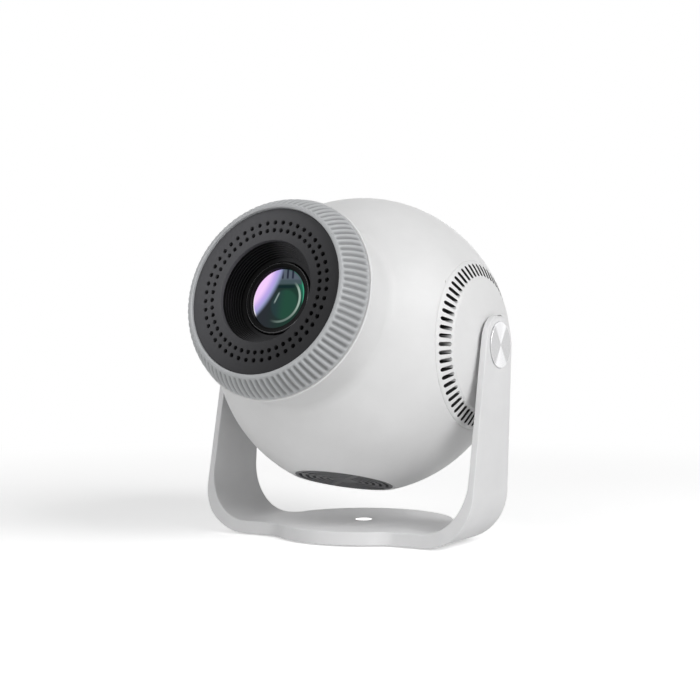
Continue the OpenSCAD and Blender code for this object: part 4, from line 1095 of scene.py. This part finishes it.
class PROJECTOR_OT_fascia(bpy.types.Operator):
    """Turns the fascia, pierces its two rings of holes and turns the stepped well behind it"""
    bl_idname = "projector.fascia"
    bl_label = "Fascia and well"

    def execute(self, context):
        b, s = context.scene.projector_ball, context.scene.projector_nose
        rear = s.fascia_front - s.fascia_thickness
        edge = 0.25 * MM
        profile = ([(s.well, rear)] + arc((s.well + edge, s.fascia_front - edge), edge, 180, 90, 4)
                   + arc((s.fascia_radius - edge, s.fascia_front - edge), edge, 90, 0, 4)
                   + [(s.fascia_radius, rear), (s.well, rear)])
        obj = turned("pierced_fascia", profile, 240)
        low, high = rear - MM, s.fascia_front + MM
        holes = joined("holes", [rod("hole", s.hole_radius, low, high, (r, 0), 16)
                                 for r in (s.hole_ring_in, s.hole_ring_out)])
        copied_round(holes, s.holes)
        carved(obj, holes)
        fitted(obj, in_head(b), 35, "focus_ring", "fascia_charcoal", ["fascia"], ["fascia"])

        sunk, steps, edge = 0.8 * MM, 8, 0.12 * MM
        floor = s.lens_front - sunk
        drop, narrow = (rear - floor) / steps, (s.well - s.well_floor) / steps
        wall = [(s.well, rear)]
        for i in range(steps):
            r, z = s.well - i * narrow, rear - (i + 1) * drop
            wall.append((r, z))
            if i < steps - 1:
                wall += arc((r - narrow + edge, z - edge), edge, 90, 180, 3)
        gap, thick, side, deep, chamfer = 0.7 * MM, 1.6 * MM, 1.8 * MM, 17.8 * MM, 0.2 * MM
        aperture, back, outer, end = s.trim + gap, floor - thick, s.well + side, rear - deep
        profile = ([(outer, end), (outer, rear)] + wall
                   + [(aperture + chamfer, floor), (aperture, floor - chamfer), (aperture, back), (s.well, back),
                      (s.well, end), (outer, end)])
        obj = turned("stepped_well", profile, 192)
        fitted(obj, in_head(b), 40, "focus_ring", "well_black", ["well"], ["lens_well"])
        return {"FINISHED"}


class PROJECTOR_OT_lens(bpy.types.Operator):
    """Turns the trim ring and the domed front lens"""
    bl_idname = "projector.lens"
    bl_label = "Front lens"

    def execute(self, context):
        b, s = context.scene.projector_ball, context.scene.projector_nose
        back, edge = s.lens_front - MM, 0.3 * MM
        # the ring's face has a shallow groove between an outer land and an inner bead
        land, slope, bead, dip = 0.9 * MM, 0.15 * MM, 0.75 * MM, 0.25 * MM
        profile = ([(s.glass, back), (s.trim, back)]
                   + arc((s.trim - edge, s.lens_front - edge), edge, 0, 90, 4)
                   + [(s.trim - land, s.lens_front), (s.trim - land - slope, s.lens_front - dip),
                      (s.glass + bead, s.lens_front - dip)]
                   + arc((s.glass + edge, s.lens_front - edge), edge, 90, 180, 4)
                   + [(s.glass, back)])
        obj = turned("lens_trim", profile, 160)
        # the ring's outer edge is lighter grey than the rest of it
        for face in obj.data.polygons:
            face.material_index = int(hypot(face.center.x, face.center.y) > s.trim - edge)
        fitted(obj, in_head(b), 40, "lens_barrel", "well_black", ["barrel", "trim"], ["lens_trim_ring"])

        sunk, thick, dome, border = 0.3 * MM, 4 * MM, 90 * MM, 0.1 * MM
        rim, rear, clear_r = back - sunk, back - thick, s.glass - border
        centre = rim - reach(dome, s.glass)
        profile = ([(0, rear), (s.glass, rear), (s.glass, rim), (clear_r, rim)]
                   + [(r, centre + reach(dome, r))
                      for r in (clear_r * (1 - i / 24) for i in range(25))])
        obj = turned("domed_front_lens", profile, 128)
        fitted(obj, in_head(b), 40, "lens_barrel", "coated_glass", ["coated"], ["front_lens"])
        return {"FINISHED"}


class PROJECTOR_OT_dress(bpy.types.Operator):
    """Gives the pieces that keep their own shape their finishes"""
    bl_idname = "projector.dress"
    bl_label = "Dress the other pieces"

    FINISHES = {
        "grille": ["bottom_grille"],
        "rubber": ["foot_pad"],
        "nickel": ["tripod_insert"],
        "fibre": ["friction_washer_left", "friction_washer_right"],
        "steel": ["pivot_bolt_left", "pivot_bolt_right", "sleeve_retainer", "cover_screws", "chassis_screws",
                  "lens_mount_screws", "panel_screws", "hdmi_socket", "usb_socket"],
        "barrel": ["focus_sleeve", "lens_barrel"],
        "black": ["lens_mount", "engine_housing", "fan_frame", "fan_rotor", "speaker", "port_panel",
                  "audio_socket", "dc_socket"],
        "glass": ["middle_lens", "rear_lens", "condenser_lens", "front_fresnel", "rear_fresnel"],
        "panel": ["lcd_panel"],
        "alloy": ["heat_sink", "chassis_plate"],
        "board": ["main_board", "port_board"],
        "ceramic": ["led_board"],
        "film": ["lcd_ribbon"],
        "button": ["power_button"],
    }

    def execute(self, context):
        for finish, nodes in self.FINISHES.items():
            for node in nodes:
                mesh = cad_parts[node].data
                mesh.materials.clear()
                mesh.materials.append(FINISH[finish])
        return {"FINISHED"}


class PROJECTOR_PT_panel(bpy.types.Panel):
    """Lists the projector's pieces and sizes"""
    bl_idname = "PROJECTOR_PT_panel"
    bl_label = "Ball Projector"
    bl_space_type = "VIEW_3D"
    bl_region_type = "UI"
    bl_category = "Projector"

    def draw(self, context):
        scene = context.scene
        for operator in OPERATORS:
            self.layout.operator(operator.bl_idname)
        for group in (scene.projector_ball, scene.projector_nose, scene.projector_bracket, scene.projector_finishes):
            box = self.layout.box()
            for key in group.bl_rna.properties.keys():
                if key not in {"rna_type", "name"}:
                    box.prop(group, key)


GROUPS = {
    "projector_ball": BallSizes,
    "projector_nose": NoseSizes,
    "projector_bracket": BracketSizes,
    "projector_finishes": Finishes,
}
OPERATORS = (
    PROJECTOR_OT_stage,
    PROJECTOR_OT_bracket,
    PROJECTOR_OT_pivot_caps,
    PROJECTOR_OT_ball_shell,
    PROJECTOR_OT_rear_cover,
    PROJECTOR_OT_side_covers,
    PROJECTOR_OT_focus_ring,
    PROJECTOR_OT_fascia,
    PROJECTOR_OT_lens,
    PROJECTOR_OT_dress,
)


def register():
    for cls in (*GROUPS.values(), *OPERATORS, PROJECTOR_PT_panel):
        bpy.utils.register_class(cls)
    for name, group in GROUPS.items():
        setattr(bpy.types.Scene, name, PointerProperty(type=group))


def unregister():
    for name in GROUPS:
        delattr(bpy.types.Scene, name)
    for cls in reversed((*GROUPS.values(), *OPERATORS, PROJECTOR_PT_panel)):
        bpy.utils.unregister_class(cls)


def main():
    register()
    scene = bpy.context.scene
    mix_finishes(scene.projector_finishes, scene.projector_ball, scene.projector_nose)
    bpy.ops.projector.stage()
    bpy.ops.projector.bracket()
    bpy.ops.projector.pivot_caps()
    bpy.ops.projector.ball_shell()
    bpy.ops.projector.rear_cover()
    bpy.ops.projector.side_covers()
    bpy.ops.projector.focus_ring()
    bpy.ops.projector.fascia()
    bpy.ops.projector.lens()
    bpy.ops.projector.dress()
    clear_desk()


if __name__ == "__main__":
    main()
